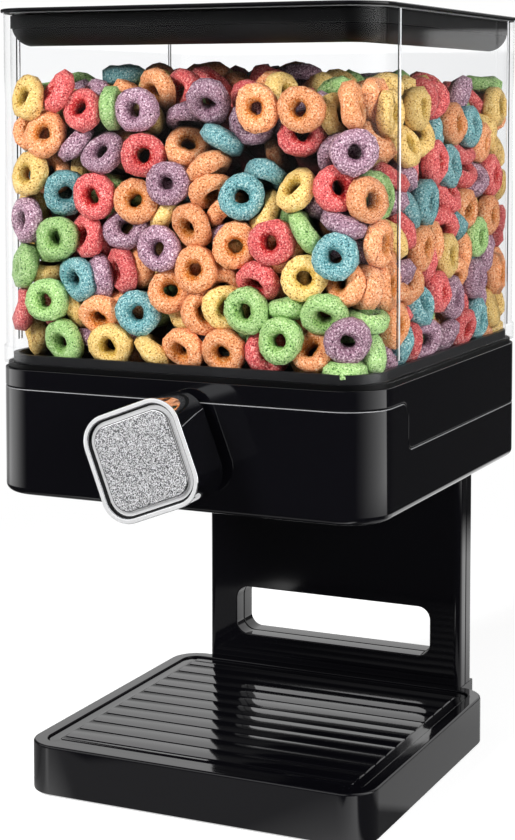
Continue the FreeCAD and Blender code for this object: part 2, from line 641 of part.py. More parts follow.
# Upper half: collar, deeper side and rear skirts, ledge for the funnel, hanging posts.
upper = Piece("upper_housing")
upper.add("Z", "side_seam", "collar_top", body_plan("0"))
upper.remove("Z", "side_seam", "ledge_low", body_plan("shell_wall"))
upper.remove("Z", "ledge_low", "collar_top", body_plan("shell_wall + ledge_width", "ledge_corner"))
upper.remove("X", "-body_width / 2 - lid_overhang", "body_width / 2 + lid_overhang", [
    ("body_front - lid_overhang", "housing_low", "0"),
    ("step_level + 2 * step_lower_round", "housing_low", "0"),
    ("step_level + 2 * step_lower_round", "side_seam", "0"),
    ("step_level", "side_seam", "step_lower_round"),
    ("step_level", "front_seam", "step_upper_round"),
    ("body_front - lid_overhang", "front_seam", "0")])
upper.add("Z", "post_joint", "ledge_low", *circles(HOUSING_POSTS, "post_radius"))
upper.remove("Z", "post_joint", "post_joint + screw_grip", *circles(HOUSING_POSTS, "screw_radius"))

screws("housing_screws", "Z", HOUSING_POSTS, HOUSING_SCREW_SEAT, "post_joint + screw_grip", True)
screws("stand_head_screws", "Y", HEAD_SCREWS, HEAD_SCREW_SEAT, "front_panel_rear", False)

# Lower part of the wheel chamber with the outlet and four tabs.
CHUTE_TOP = "axis_level + chamber_rise"
TAB_TOP = "floor_top + tab_lift + tab_thickness"
chute = Piece("outlet_chute")
chute.add("Z", "floor_top", CHUTE_TOP, centred_loop(
    "chamber_half", "chamber_front - chamber_wall", "chamber_rear + chamber_wall"))
chute.add("Z", "housing_low - spout_drop", "floor_top", centred_loop(
    "spout_half", "chamber_front - outlet_wall", "chamber_rear + outlet_wall"))
chute.add(
    "Z", "floor_top + tab_lift", TAB_TOP,
    centred_loop("chamber_half + tab_reach", "body_middle - tab_spread - tab_half_length",
                 "body_middle - tab_spread + tab_half_length"),
    centred_loop("chamber_half + tab_reach", "body_middle + tab_spread - tab_half_length",
                 "body_middle + tab_spread + tab_half_length"))
chute.remove("Y", "chamber_front", "chamber_rear", ("0", "axis_level", "chamber_bore"))
chute.remove("Z", "axis_level", CHUTE_TOP, centred_loop("chamber_bore", "chamber_front", "chamber_rear"))
chute.remove("Z", "housing_low - spout_drop", "axis_level", centred_loop(
    "outlet_width / 2", "chamber_front", "chamber_rear"))
chute.remove("Y", "chamber_front - chamber_wall", "chamber_front",
             ("0", "axis_level", "shaft_radius + vane_gap"))
chute.remove("Y", "chamber_rear", "chamber_rear + chamber_wall", ("0", "axis_level", "bush_radius"))
chute.remove("Z", "floor_top + tab_lift", TAB_TOP, *circles(CHUTE_SCREWS, "screw_radius + screw_gap"))
screws("chute_screws", "Z", CHUTE_SCREWS, TAB_TOP, "housing_low + screw_sink", False)

BORE = AXIS + ("shaft_radius + bush_gap",)
PUSHED = AXIS + ("shaft_radius + fit_gap",)
front_bush = Piece("front_bush", at_axis=True)
front_bush.add("Y", "body_front", "body_front + shell_wall + bush_tail", AXIS + ("bush_radius",))
front_bush.add("Y", "body_front + shell_wall", "body_front + shell_wall + bush_flange_thickness",
               AXIS + ("bush_radius + bush_flange",))
front_bush.remove("Y", "body_front", "body_front + shell_wall + bush_tail", BORE)

rear_bush = Piece("rear_bush", at_axis=True)
rear_bush.add("Y", "chamber_rear", "bush_rear", AXIS + ("bush_radius",))
rear_bush.add("Y", "chamber_rear + chamber_wall", "chamber_rear + chamber_wall + bush_flange_thickness",
              AXIS + ("bush_radius + bush_flange",))
rear_bush.remove("Y", "chamber_rear", "bush_rear", BORE)

# Funnel: rim inside the canister, floor on the ledge, slopes down to the chamber.
funnel = Piece("hopper_funnel")
SLOPE_CORNER = "ledge_corner - funnel_ledge_gap"
funnel.add("Z", "collar_top", "collar_top + funnel_rise", body_plan("funnel_inset"))
funnel.remove(
    "Z", "collar_top + funnel_wall", "collar_top + funnel_rise", body_plan("funnel_inset + funnel_wall"))
funnel.loft(
    "AdditiveLoft", body_plan("slope_inset", SLOPE_CORNER), "collar_top",
    centred_loop("chamber_bore + funnel_foot", "chamber_front - funnel_foot", "chamber_rear + funnel_foot",
                 "funnel_throat_corner + funnel_foot"), CHUTE_TOP)
funnel.loft(
    "SubtractiveLoft", body_plan("slope_inset", SLOPE_CORNER), "collar_top + funnel_wall",
    centred_loop("chamber_bore", "chamber_front", "chamber_rear", "funnel_throat_corner"), CHUTE_TOP)

# Shaft, paddle wheel and clip, drawn about their own axis.
shaft = Piece("drive_shaft", at_axis=True, turned=True)
shaft.add("Y", "shaft_front", "shaft_rear", AXIS + ("shaft_radius",))
shaft.remove("Y", "shaft_front", "washer_front", box_loop(
    "-shaft_radius", "shaft_radius", "shaft_flat", "shaft_radius + fit_gap"))
shaft.remove("Y", "shaft_front", "shaft_front + knob_screw_grip", AXIS + ("screw_radius",))

hub = Piece("paddle_hub", at_axis=True, turned=True)
PADDLE_SPAN = ("chamber_front + vane_end_gap", "chamber_rear - vane_end_gap")
hub.add("Y", *PADDLE_SPAN, AXIS + ("hub_radius",))
hub.remove("Y", *PADDLE_SPAN, PUSHED)

vanes = Piece("paddle_vanes", at_axis=True, turned=True)
vanes.add("Y", *PADDLE_SPAN, box_loop(
    "-vane_thickness / 2", "vane_thickness / 2", "hub_radius + fit_gap", "vane_radius"))
blade = vanes.body.Tip
ring = vanes.body.newObject("PartDesign::PolarPattern", "paddle_vanes_ring")
ring.Originals = [blade]
ring.Axis = (blade.Profile[0], ["N_Axis"])
ring.Angle = 360
ring.setExpression("Occurrences", formula("vane_count"))
vanes.body.Tip = ring

clip = Piece("shaft_clip", at_axis=True, turned=True)
clip.add("Y", "clip_front", "clip_rear", AXIS + ("clip_radius",))
clip.remove("Y", "clip_front", "clip_rear", PUSHED)

# Knob: black hub with its neck, chrome cap with rim and groove, textured plate, screw, washer.
neck = Piece("knob_hub", at_axis=True, turned=True)
neck.add("Y", "cap_inside", "washer_front", AXIS + ("boss_radius",))
neck.add("Y", "cap_rear - neck_overlap", "washer_front", AXIS + ("neck_radius",))
neck.remove("Y", "shaft_front", "washer_front", [
    ("-shaft_radius - fit_gap", "-shaft_radius - fit_gap", "shaft_radius"),
    ("shaft_radius + fit_gap", "-shaft_radius - fit_gap", "shaft_radius"),
    ("shaft_radius + fit_gap", "shaft_flat + fit_gap", "0"),
    ("-shaft_radius - fit_gap", "shaft_flat + fit_gap", "0")])
neck.remove("Y", "cap_inside", "shaft_front", AXIS + ("screw_radius + screw_gap",))

cap = Piece("knob_cap", at_axis=True, turned=True)
cap_block = cap.feature(
    "Pad", cap.sketch("Y", "knob_front", [
        centred_loop("knob_side / 2", "-knob_side / 2", "knob_side / 2", "knob_corner")]),
    "knob_front", "cap_rear")
cap_block.Reversed = True
cap_block.setExpression("TaperAngle", formula("-knob_draft"))
cap.remove("Y", "cap_inside", "cap_rear", centred_loop(
    "knob_side / 2 - knob_wall", "-knob_side / 2 + knob_wall", "knob_side / 2 - knob_wall",
    "knob_corner - knob_wall"))
cap.remove("Y", "knob_front", "groove_floor", centred_loop(
    "knob_side / 2 - knob_rim", "-knob_side / 2 + knob_rim", "knob_side / 2 - knob_rim",
    "knob_corner - knob_rim"))
KNOB_SCREW_SEAT = "groove_floor + screw_head_height"
cap.remove("Y", "groove_floor", KNOB_SCREW_SEAT, AXIS + ("screw_head_radius + screw_gap",))
cap.remove("Y", KNOB_SCREW_SEAT, "cap_inside", AXIS + ("screw_radius + screw_gap",))

insert = Piece("knob_insert", at_axis=True, turned=True)
insert.add("Y", "groove_floor - insert_thickness", "groove_floor", centred_loop(
    "insert_side / 2", "-insert_side / 2", "insert_side / 2", "insert_corner"))

screws("knob_screw", "Y", [AXIS], KNOB_SCREW_SEAT, "shaft_front + knob_screw_grip", True, at_axis=True)

washer = Piece("knob_washer", at_axis=True, turned=True)
washer.add("Y", "washer_front", "washer_rear", AXIS + ("bush_radius + bush_flange",))
washer.remove("Y", "washer_front", "washer_rear", PUSHED)

# Clear canister with its thick lower edge, and the gasket under it.
canister = Piece("canister")
canister.add("Z", "canister_low", "canister_top", body_plan("canister_inset"))
canister.add("Z", "canister_low", "flange_top", body_plan("canister_inset - flange_flare"))
canister.remove("Z", "canister_low", "canister_top", body_plan("canister_inset + canister_wall"))

gasket = Piece("canister_gasket")
gasket.add("Z", "collar_top", "canister_low", body_plan("gasket_recess"),
           body_plan("canister_inset + canister_wall"))

# Lid: tub with a rounded lower edge, flange, grip bar and the groove for the seal.
lid = Piece("lid_body")
lid.add("Z", "tub_low", "canister_top", body_plan("tub_inset"))
lid.fillet("tub_round", "Z", "tub_low")
lid.hollow("lid_wall", "canister_top")
lid.add("Z", "canister_top", "lid_top", body_plan("-lid_overhang"), body_plan("tub_inset + lid_wall"))
lid.add("Z", "tub_low + lid_wall", "lid_top - grip_drop", centred_loop(
    "body_width / 2 - tub_inset - tub_round", "body_middle - grip_width / 2", "body_middle + grip_width / 2"))
lid.remove("Z", "seal_top - seal_height", "seal_top", body_plan("0"), body_plan("tub_inset + seal_bite"))

seal = Piece("lid_seal")
seal.add("Z", "seal_top - seal_height", "seal_top", body_plan("canister_inset + canister_wall + seal_gap"),
         body_plan("tub_inset + seal_bite"))

doc.recompute()

for entry in doc.Objects:
    if "Invalid" in entry.State or "Error" in entry.State:
        raise RuntimeError("%s has the state %s" % (entry.Name, entry.State))
for piece in PIECES:
    shape = piece.body.Shape
    if shape.isNull() or not shape.isValid() or shape.Volume <= 0:
        raise RuntimeError("%s has no valid shape" % piece.label)

os.makedirs("parts", exist_ok=True)
for piece in PIECES:
    piece.body.Shape.exportStep(os.path.join("parts", piece.label + ".step"))
    print("%s: solids %d, volume %.1f mm3" % (
        piece.label, len(piece.body.Shape.Solids), piece.body.Shape.Volume))
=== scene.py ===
"""The looks of a countertop dispenser for dry food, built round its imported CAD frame.

The black mouldings, the knob and the clear canister are copies of their CAD nodes with eased
edges. The ribbed tray and the ring-shaped food are modelled here. Lengths are in metres, other
than those of the food's packing, which is worked out in millimetres.
"""

import functools
import itertools
import json
import logging
import math
from dataclasses import dataclass, field
from enum import Enum

import bmesh
import bpy
import numpy as np
from mathutils import Matrix, Vector

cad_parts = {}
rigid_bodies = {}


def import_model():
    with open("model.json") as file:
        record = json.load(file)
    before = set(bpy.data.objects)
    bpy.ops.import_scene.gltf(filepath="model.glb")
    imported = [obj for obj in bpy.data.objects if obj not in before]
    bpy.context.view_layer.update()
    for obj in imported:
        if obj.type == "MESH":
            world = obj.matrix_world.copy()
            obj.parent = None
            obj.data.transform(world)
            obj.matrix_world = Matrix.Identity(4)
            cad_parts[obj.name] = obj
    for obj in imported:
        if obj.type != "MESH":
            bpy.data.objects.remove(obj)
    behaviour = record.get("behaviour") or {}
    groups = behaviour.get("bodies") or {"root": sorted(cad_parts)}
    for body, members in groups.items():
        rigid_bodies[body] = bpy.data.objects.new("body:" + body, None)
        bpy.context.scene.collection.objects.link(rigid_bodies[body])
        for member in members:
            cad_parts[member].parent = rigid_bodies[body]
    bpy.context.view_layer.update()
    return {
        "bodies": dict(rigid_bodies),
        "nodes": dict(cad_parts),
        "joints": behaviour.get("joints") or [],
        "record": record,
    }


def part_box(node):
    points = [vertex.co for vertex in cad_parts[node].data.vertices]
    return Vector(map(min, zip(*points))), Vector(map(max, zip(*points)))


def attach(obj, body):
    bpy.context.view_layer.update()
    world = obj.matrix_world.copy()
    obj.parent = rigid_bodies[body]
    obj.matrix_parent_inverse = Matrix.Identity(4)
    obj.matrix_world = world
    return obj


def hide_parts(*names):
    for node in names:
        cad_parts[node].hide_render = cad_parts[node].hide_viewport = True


LOG = logging.getLogger("dispenser")
MM = 0.001
ROUND_PROFILE = 0.5
Colour = tuple[float, float, float]
Place = tuple[float, float, float]
Range = tuple[float, float]
Array = np.ndarray
Material = bpy.types.Material
Mesh = bmesh.types.BMesh
Piece = bpy.types.Object
Socket = bpy.types.NodeSocket
SCREEN_TOE = 0.04045
SCREEN_SLOPE = 12.92
SCREEN_OFFSET = 0.055
SCREEN_POWER = 2.4


class Slot(Enum):
    """The record's material slots."""

    GLOSS_BLACK = "gloss_black"
    MATTE_BLACK = "matte_black"
    CLEAR = "clear"
    CHROME = "chrome"
    TEXTURED_SILVER = "textured_silver"
    SEAL_RUBBER = "seal_rubber"
    SOFT_VANE = "soft_vane"
    SCREW_STEEL = "screw_steel"


class Body(Enum):
    """The bodies that pieces ride on."""

    STAND = "stand"
    WHEEL = "wheel"
    CANISTER = "canister"
    LID = "lid"
    TRAY = "tray"


class Zone(Enum):
    """The faces of a piece that take a second finish; some of these finishes are painted highlights and
    painted shade.
    """

    FRONT_RIM = "the raised rim at the front and the floor of its groove"
    RIM_INSIDE = "the rim's inner wall"
    FRONT_EDGE = "the eased edge round the front"
    UNDERSIDE = "all that looks down"
    LOWER_EDGE = "the rounded edge round what looks down"
    SEAM_EDGE = "the eased edge along the seam"
    TOP_EDGE = "the eased edge at the top"


def seen(red: int, green: int, blue: int) -> Colour:
    """Turn a colour as a screen shows it into the linear colour that a shader takes.

    Args:
        red: the red channel, 0 to 255.
        green: the green channel, 0 to 255.
        blue: the blue channel, 0 to 255.

    Returns:
        The linear colour.
    """
    shares = [channel / 255 for channel in (red, green, blue)]
    return tuple(
        share / SCREEN_SLOPE if share <= SCREEN_TOE
        else ((share + SCREEN_OFFSET) / (1 + SCREEN_OFFSET)) ** SCREEN_POWER for share in shares)


@dataclass(frozen=True)
class Fade:
    """A smooth change from one level to another between two places."""

    start: float
    end: float
    low: float = 0.0
    high: float = 1.0


Fades = tuple[Fade, ...]


def sector(start: float, end: float, low: float = 0.0, high: float = 1.0) -> Fade:
    """Give a change between two angles in degrees, as one in radians."""
    return Fade(math.radians(start), math.radians(end), low, high)


class Nodes:
    """A material's or the world's node tree, emptied and ready to be filled."""

    def __init__(self, owner: bpy.types.ID) -> None:
        """Take over the tree of a material or world.

        Args:
            owner: the material or world.
        """
        owner.use_nodes = True
        self.tree = owner.node_tree
        self.tree.nodes.clear()

    def add(self, kind: str, inputs: dict[str | int, object] | None = None,
            **settings: object) -> bpy.types.Node:
        """Add one node.

        Args:
            kind: the node's type name.
            inputs: a socket or a value for each input, by its name or number.
            settings: properties of the node, such as its operation.

        Returns:
            The new node.
        """
        node = self.tree.nodes.new(kind)
        for name, value in settings.items():
            setattr(node, name, value)
        for name, value in (inputs or {}).items():
            if isinstance(value, Socket):
                self.tree.links.new(value, node.inputs[name])
            else:
                node.inputs[name].default_value = value
        return node

    def math(self, operation: str, *values: object) -> Socket:
        """Add a Math node on sockets or numbers, and give its output."""
        return self.add("ShaderNodeMath", dict(enumerate(values)), operation=operation).outputs[0]

    def chain(self, operation: str, *values: object) -> Socket:
        """Take up sockets or numbers by one operation, from left to right."""
        return functools.reduce(lambda first, second: self.math(operation, first, second), values)

    def faded(self, source: Socket, *fades: Fade) -> Socket:
        """Turn a value into a level by smooth changes, which are multiplied.

        Args:
            source: the socket that it reads.
            fades: the changes.

        Returns:
            The level.
        """
        levels = []
        for fade in fades:
            inputs = {"Value": source, "From Min": fade.start, "From Max": fade.end,
                      "To Min": fade.low, "To Max": fade.high}
            node = self.add("ShaderNodeMapRange", inputs, interpolation_type="SMOOTHSTEP")
            levels.append(node.outputs["Result"])
        return self.chain("MULTIPLY", *levels)

    def ramp(self, source: Socket, stops: list[tuple[float, Colour]]) -> Socket:
        """Add a colour ramp.

        Args:
            source: the socket that it reads.
            stops: positions with linear colours.

        Returns:
            The ramp's colour output.
        """
        node = self.add("ShaderNodeValToRGB", {"Fac": source})
        elements = node.color_ramp.elements
        while len(elements) < len(stops):
            elements.new(0.5)
        for element, (position, colour) in zip(elements, stops):
            element.position = position
            element.color = (*colour, 1.0)
        return node.outputs["Color"]

    def noise(self, scale: float, detail: float = 2.0, roughness: float = 0.5) -> Socket:
        """Add a noise on object coordinates.

        Args:
            scale: how many features there are to a metre.
            detail: octaves.
            roughness: weight of the finer octaves.

        Returns:
            The noise's value output.
        """
        place = self.add("ShaderNodeTexCoord").outputs["Object"]
        inputs = {"Vector": place, "Scale": scale, "Detail": detail, "Roughness": roughness}
        return self.add("ShaderNodeTexNoise", inputs).outputs["Fac"]

    def bump(self, height: Socket, strength: float, distance: float) -> Socket:
        """Add a bump of a real height in metres, and give the bent normal."""
        inputs = {"Height": height, "Strength": strength, "Distance": distance}
        return self.add("ShaderNodeBump", inputs).outputs["Normal"]

    def mix(self, share: Socket, first: Socket, second: Socket) -> Socket:
        """Mix two shaders by the second one's share."""
        return self.add("ShaderNodeMixShader", {0: share, 1: first, 2: second}).outputs["Shader"]

    def show(self, shader: Socket, kind: str = "ShaderNodeOutputMaterial") -> None:
        """Lead a shader to the tree's output."""
        self.add(kind, {"Surface": shader})


@dataclass(frozen=True)
class Coat:
    """What every finish has: a name, a shader and a material made of it."""

    name: str

    def shader(self, nodes: Nodes) -> Socket:
        """Build the finish's shader in a material's tree."""
        raise NotImplementedError

    def material(self) -> Material:
        """Build the material.

        Returns:
            The new material.
        """
        material = bpy.data.materials.new(self.name)
        nodes = Nodes(material)
        nodes.show(self.shader(nodes))
        return material


@dataclass(frozen=True)
class Finish(Coat):
    """A finish with a Principled surface whose roughness and relief vary slightly."""

    colour: Colour
    roughness: Range
    metallic: float = 0.0
    specular: float = 0.5
    grain: float = 900.0
    relief: float = 0.0
    relief_strength: float = 0.2
    tint: float = 0.06
    grains_to_cloud: float = 12.0
    cloud_ends: Range = (0.3, 0.7)

    def shader(self, nodes: Nodes) -> Socket:
        """Build the finish's shader.

        Args:
            nodes: the material's tree.

        Returns:
            The shader.
        """
        cloud = nodes.noise(self.grain / self.grains_to_cloud, detail=3.0)
        low, high = self.roughness
        roughness = nodes.add("ShaderNodeMapRange", {"Value": cloud, "To Min": low, "To Max": high})
        dark = tuple(channel * (1 - self.tint) for channel in self.colour)
        light = tuple(min(1.0, channel * (1 + self.tint)) for channel in self.colour)
        inputs = {
            "Metallic": self.metallic, "Specular IOR Level": self.specular,
            "Roughness": roughness.outputs["Result"],
            "Base Color": nodes.ramp(cloud, list(zip(self.cloud_ends, (dark, light))))}
        if self.relief > 0:
            inputs["Normal"] = nodes.bump(
                nodes.noise(self.grain, detail=1.0), self.relief_strength, self.relief)
        return nodes.add("ShaderNodeBsdfPrincipled", inputs).outputs["BSDF"]


@dataclass(frozen=True)
class ClearFinish(Coat):
    """Clear moulded plastic: light passes straight on, and more is mirrored at a slant."""

    colour: Colour = (0.996, 0.998, 1.0)
    head_on: float = 0.008
    slant: float = 0.42
    rise: float = 5.0
    clouds: float = 25.0
    haze: Fade = Fade(0.3, 0.7, 0.01, 0.05)

    def shader(self, nodes: Nodes) -> Socket:
        """Build the finish's shader.

        Args:
            nodes: the material's tree.

        Returns:
            The shader.
        """
        through = nodes.add("ShaderNodeBsdfTransparent", {"Color": (*self.colour, 1.0)})
        surface = nodes.add("ShaderNodeBsdfPrincipled", {
            "Base Color": (1.0, 1.0, 1.0, 1.0), "Metallic": 1.0,
            "Roughness": nodes.faded(nodes.noise(self.clouds), self.haze)})
        facing = nodes.add("ShaderNodeLayerWeight").outputs["Facing"]
        slanting = nodes.math("POWER", facing, self.rise)
        mirrored = nodes.math("MULTIPLY_ADD", slanting, self.slant, self.head_on)
        return nodes.mix(mirrored, through.outputs["BSDF"], surface.outputs["BSDF"])


@dataclass(frozen=True)
class SandFinish(Coat):
    """A silver plate with a fine, sparkling, sand-like texture."""

    dark: Colour = (0.035, 0.035, 0.038)
    light: Colour = (0.86, 0.86, 0.88)
    grain: float = 3000.0
    ends: Range = (0.44, 0.56)
    metallic: float = 0.4
    roughness: float = 0.42
    relief: float = 0.25 * MM
    relief_strength: float = 0.55

    def shader(self, nodes: Nodes) -> Socket:
        """Build the finish's shader.

        Args:
            nodes: the material's tree.

        Returns:
            The shader.
        """
        grain = nodes.noise(self.grain, roughness=0.6)
        return nodes.add("ShaderNodeBsdfPrincipled", {
            "Metallic": self.metallic, "Roughness": self.roughness,
            "Base Color": nodes.ramp(grain, list(zip(self.ends, (self.dark, self.light)))),
            "Normal": nodes.bump(grain, self.relief_strength, self.relief)}).outputs["BSDF"]


@dataclass(frozen=True)
class SugarFinish(Coat):
    """A puffed, sugared ring: one hue with pale grains and dark pits, and a crumbly surface, with painted
    shade that darkens it deeper in the heap and towards its hole.
    """

    dark: Colour
    hue: Colour
    pale: Colour
    share: float
    grain: float = 1500.0
    stops: tuple[float, float, float, float] = (0.39, 0.43, 0.55, 0.61)
    roughness: float = 0.6
    specular: float = 0.3
    tones: Fade = Fade(0.0, 1.0, 0.86, 1.12)
    # Painted shade: the deeper a point lies in the heap, in millimetres, the darker it is.
    depths: Fade = Fade(4.5, 15.0, 1.0, 0.06)
    hollow_colour: Fade = Fade(0.1, 0.5, 1.0, 1.15)
    # Painted shade: darker towards the ring's hole.
    painted_hollow_shade: Fade = Fade(0.15, 0.55, 1.0, 0.62)
    lumps: float = 330.0
    grain_in_relief: float = 0.5
    relief: float = 0.8 * MM
    relief_strength: float = 0.8
    attributes: tuple[str, str, str] = ("tone", "depth", "hollow")

    def shader(self, nodes: Nodes) -> Socket:
        """Build the finish's shader.

        Args:
            nodes: the material's tree.

        Returns:
            The shader.
        """
        grain = nodes.noise(self.grain, detail=3.0, roughness=0.65)
        body = nodes.ramp(grain, list(zip(self.stops, (self.dark, self.hue, self.hue, self.pale))))
        tone, depth, hollow = (
            nodes.add("ShaderNodeAttribute", attribute_name=name).outputs["Fac"]
            for name in self.attributes)
        # Each ring's random tone, times painted shade that darkens it deeper in the heap.
        level = nodes.math("MULTIPLY", nodes.faded(tone, self.tones), nodes.faded(depth, self.depths))
        # Towards the hole the ring is more saturated and darker; the darkening is painted shade.
        shade = nodes.add("ShaderNodeHueSaturation", {
            "Color": body, "Saturation": nodes.faded(hollow, self.hollow_colour),
            "Value": nodes.math("MULTIPLY", level, nodes.faded(hollow, self.painted_hollow_shade))})
        height = nodes.math(
            "ADD", nodes.noise(self.lumps), nodes.math("MULTIPLY", grain, self.grain_in_relief))
        return nodes.add("ShaderNodeBsdfPrincipled", {
            "Roughness": self.roughness, "Specular IOR Level": self.specular,
            "Base Color": shade.outputs["Color"],
            "Normal": nodes.bump(height, self.relief_strength, self.relief)}).outputs["BSDF"]


SECOND_FINISHES_AND_PAINTED_LIGHT: dict[Zone, Finish] = {
    # Painted highlight: the knob's front rim and groove floor take a white, half-matt copy of the chrome.
    Zone.FRONT_RIM: Finish(
        "chrome_painted_highlight", (0.93, 0.93, 0.94), (0.28, 0.36), metallic=0.5, grain=300.0, tint=0.02),
    Zone.FRONT_EDGE: Finish(
        "bright_chrome_edge", (0.95, 0.95, 0.96), (0.08, 0.14), metallic=1.0, grain=300.0, tint=0.02),
    # Painted shade and dark reflection: the rim's inner wall takes a dark copy of the chrome.
    Zone.RIM_INSIDE: Finish(
        "chrome_wall_painted_dark", (0.05, 0.05, 0.052), (0.05, 0.1), metallic=1.0, grain=200.0, tint=0.02),
    Zone.UNDERSIDE: Finish("polished_underside", (0.004, 0.004, 0.005), (0.008, 0.014), grain=200.0),
    Zone.LOWER_EDGE: Finish(
        "satin_black_edge", (0.0012, 0.0012, 0.0015), (0.5, 0.6), specular=0.15, grain=200.0),
    # Painted highlight: the canister's top eased edge is opaque pale grey instead of clear.
    Zone.TOP_EDGE: Finish(
        "clear_edge_painted_highlight", (0.3, 0.305, 0.31), (0.35, 0.45), grain=300.0, tint=0.03),
    # Painted highlight: the housing's eased seam edge is pale grey.
    Zone.SEAM_EDGE: Finish(
        "seam_edge_painted_highlight", (0.3, 0.3, 0.31), (0.2, 0.3), metallic=0.35, grain=300.0, tint=0.04),
}

FINISHES: dict[Slot, Coat] = {
    Slot.GLOSS_BLACK: Finish(
        "gloss_black_moulding", (0.0024, 0.0023, 0.0034), (0.05, 0.09), specular=0.42, grain=260.0,
        relief=0.02 * MM, relief_strength=0.05),
    Slot.MATTE_BLACK: Finish(
        "matte_black_moulding", (0.01, 0.01, 0.011), (0.38, 0.5), relief=0.05 * MM),
    Slot.CLEAR: ClearFinish("clear_moulding"),
    Slot.CHROME: Finish(
        "chrome_plating", (0.86, 0.87, 0.89), (0.02, 0.06), metallic=1.0, grain=200.0, tint=0.02),
    Slot.TEXTURED_SILVER: SandFinish("sanded_silver_plate"),
    Slot.SEAL_RUBBER: Finish(
        "seal_rubber", (0.0012, 0.0012, 0.0014), (0.42, 0.55), specular=0.2, relief=0.04 * MM),
    Slot.SOFT_VANE: Finish(
        "soft_vane_silicone", (0.6, 0.6, 0.58), (0.45, 0.6), relief=0.05 * MM),
    Slot.SCREW_STEEL: Finish(
        "plated_screw_steel", (0.5, 0.5, 0.51), (0.25, 0.4), metallic=1.0, relief=0.02 * MM),
}


def new_piece(name: str, mesh: Mesh, material: Material) -> Piece:
    """Turn a finished bmesh into an object at the origin.

    Args:
        name: the object's name.
        mesh: the bmesh, which is freed.
        material: its only material.

    Returns:
        The new object.
    """
    data = bpy.data.meshes.new(name)
    mesh.to_mesh(data)
    mesh.free()
    if "custom_normal" in data.attributes:
        data.attributes.remove(data.attributes["custom_normal"])
    data.materials.clear()
    data.materials.append(material)
    data.shade_smooth()
    piece = bpy.data.objects.new(name, data)
    bpy.context.scene.collection.objects.link(piece)
    return piece


def long_sharp_edges(mesh: Mesh, limit: float, least: float) -> list[bmesh.types.BMEdge]:
    """Find the sharp edges that belong to a large outline, and leave out those of screw holes.

    Args:
        mesh: the mesh.
        limit: smallest angle between two faces, in radians.
        least: smallest size of an outline.

    Returns:
        The edges.
    """
    sharp = {edge for edge in mesh.edges if len(edge.link_faces) == 2 and edge.calc_face_angle(0.0) > limit}
    chosen: list[bmesh.types.BMEdge] = []
    while sharp:
        chain = [sharp.pop()]
        for edge in chain:
            for vertex in edge.verts:
                for neighbour in vertex.link_edges:
                    if neighbour in sharp:
                        sharp.remove(neighbour)
                        chain.append(neighbour)
        places = np.array([vertex.co[:] for edge in chain for vertex in edge.verts])
        if np.ptp(places, axis=0).max() > least:
            chosen.extend(chain)
    return chosen


@dataclass(frozen=True)
class ZoneLimits:
    """Where the zones begin and end: parts of a face's normal, and distances."""

    rim_front: float = -0.72
    groove_floor: float = -0.97
    rim_edge: float = 0.2
    front_edge: Range = (-0.98, -0.05)
    looks_down: float = -0.08
    flat_underside: float = -0.985
    top_edge: Range = (0.2, 0.95)
    top_depth: float = 0.6 * MM
    wall_depth: float = 0.8 * MM
    foot: float = 6 * MM
    slanted: float = 0.15
    step_reach: float = 1.2 * MM
    step_slant: float = 0.2


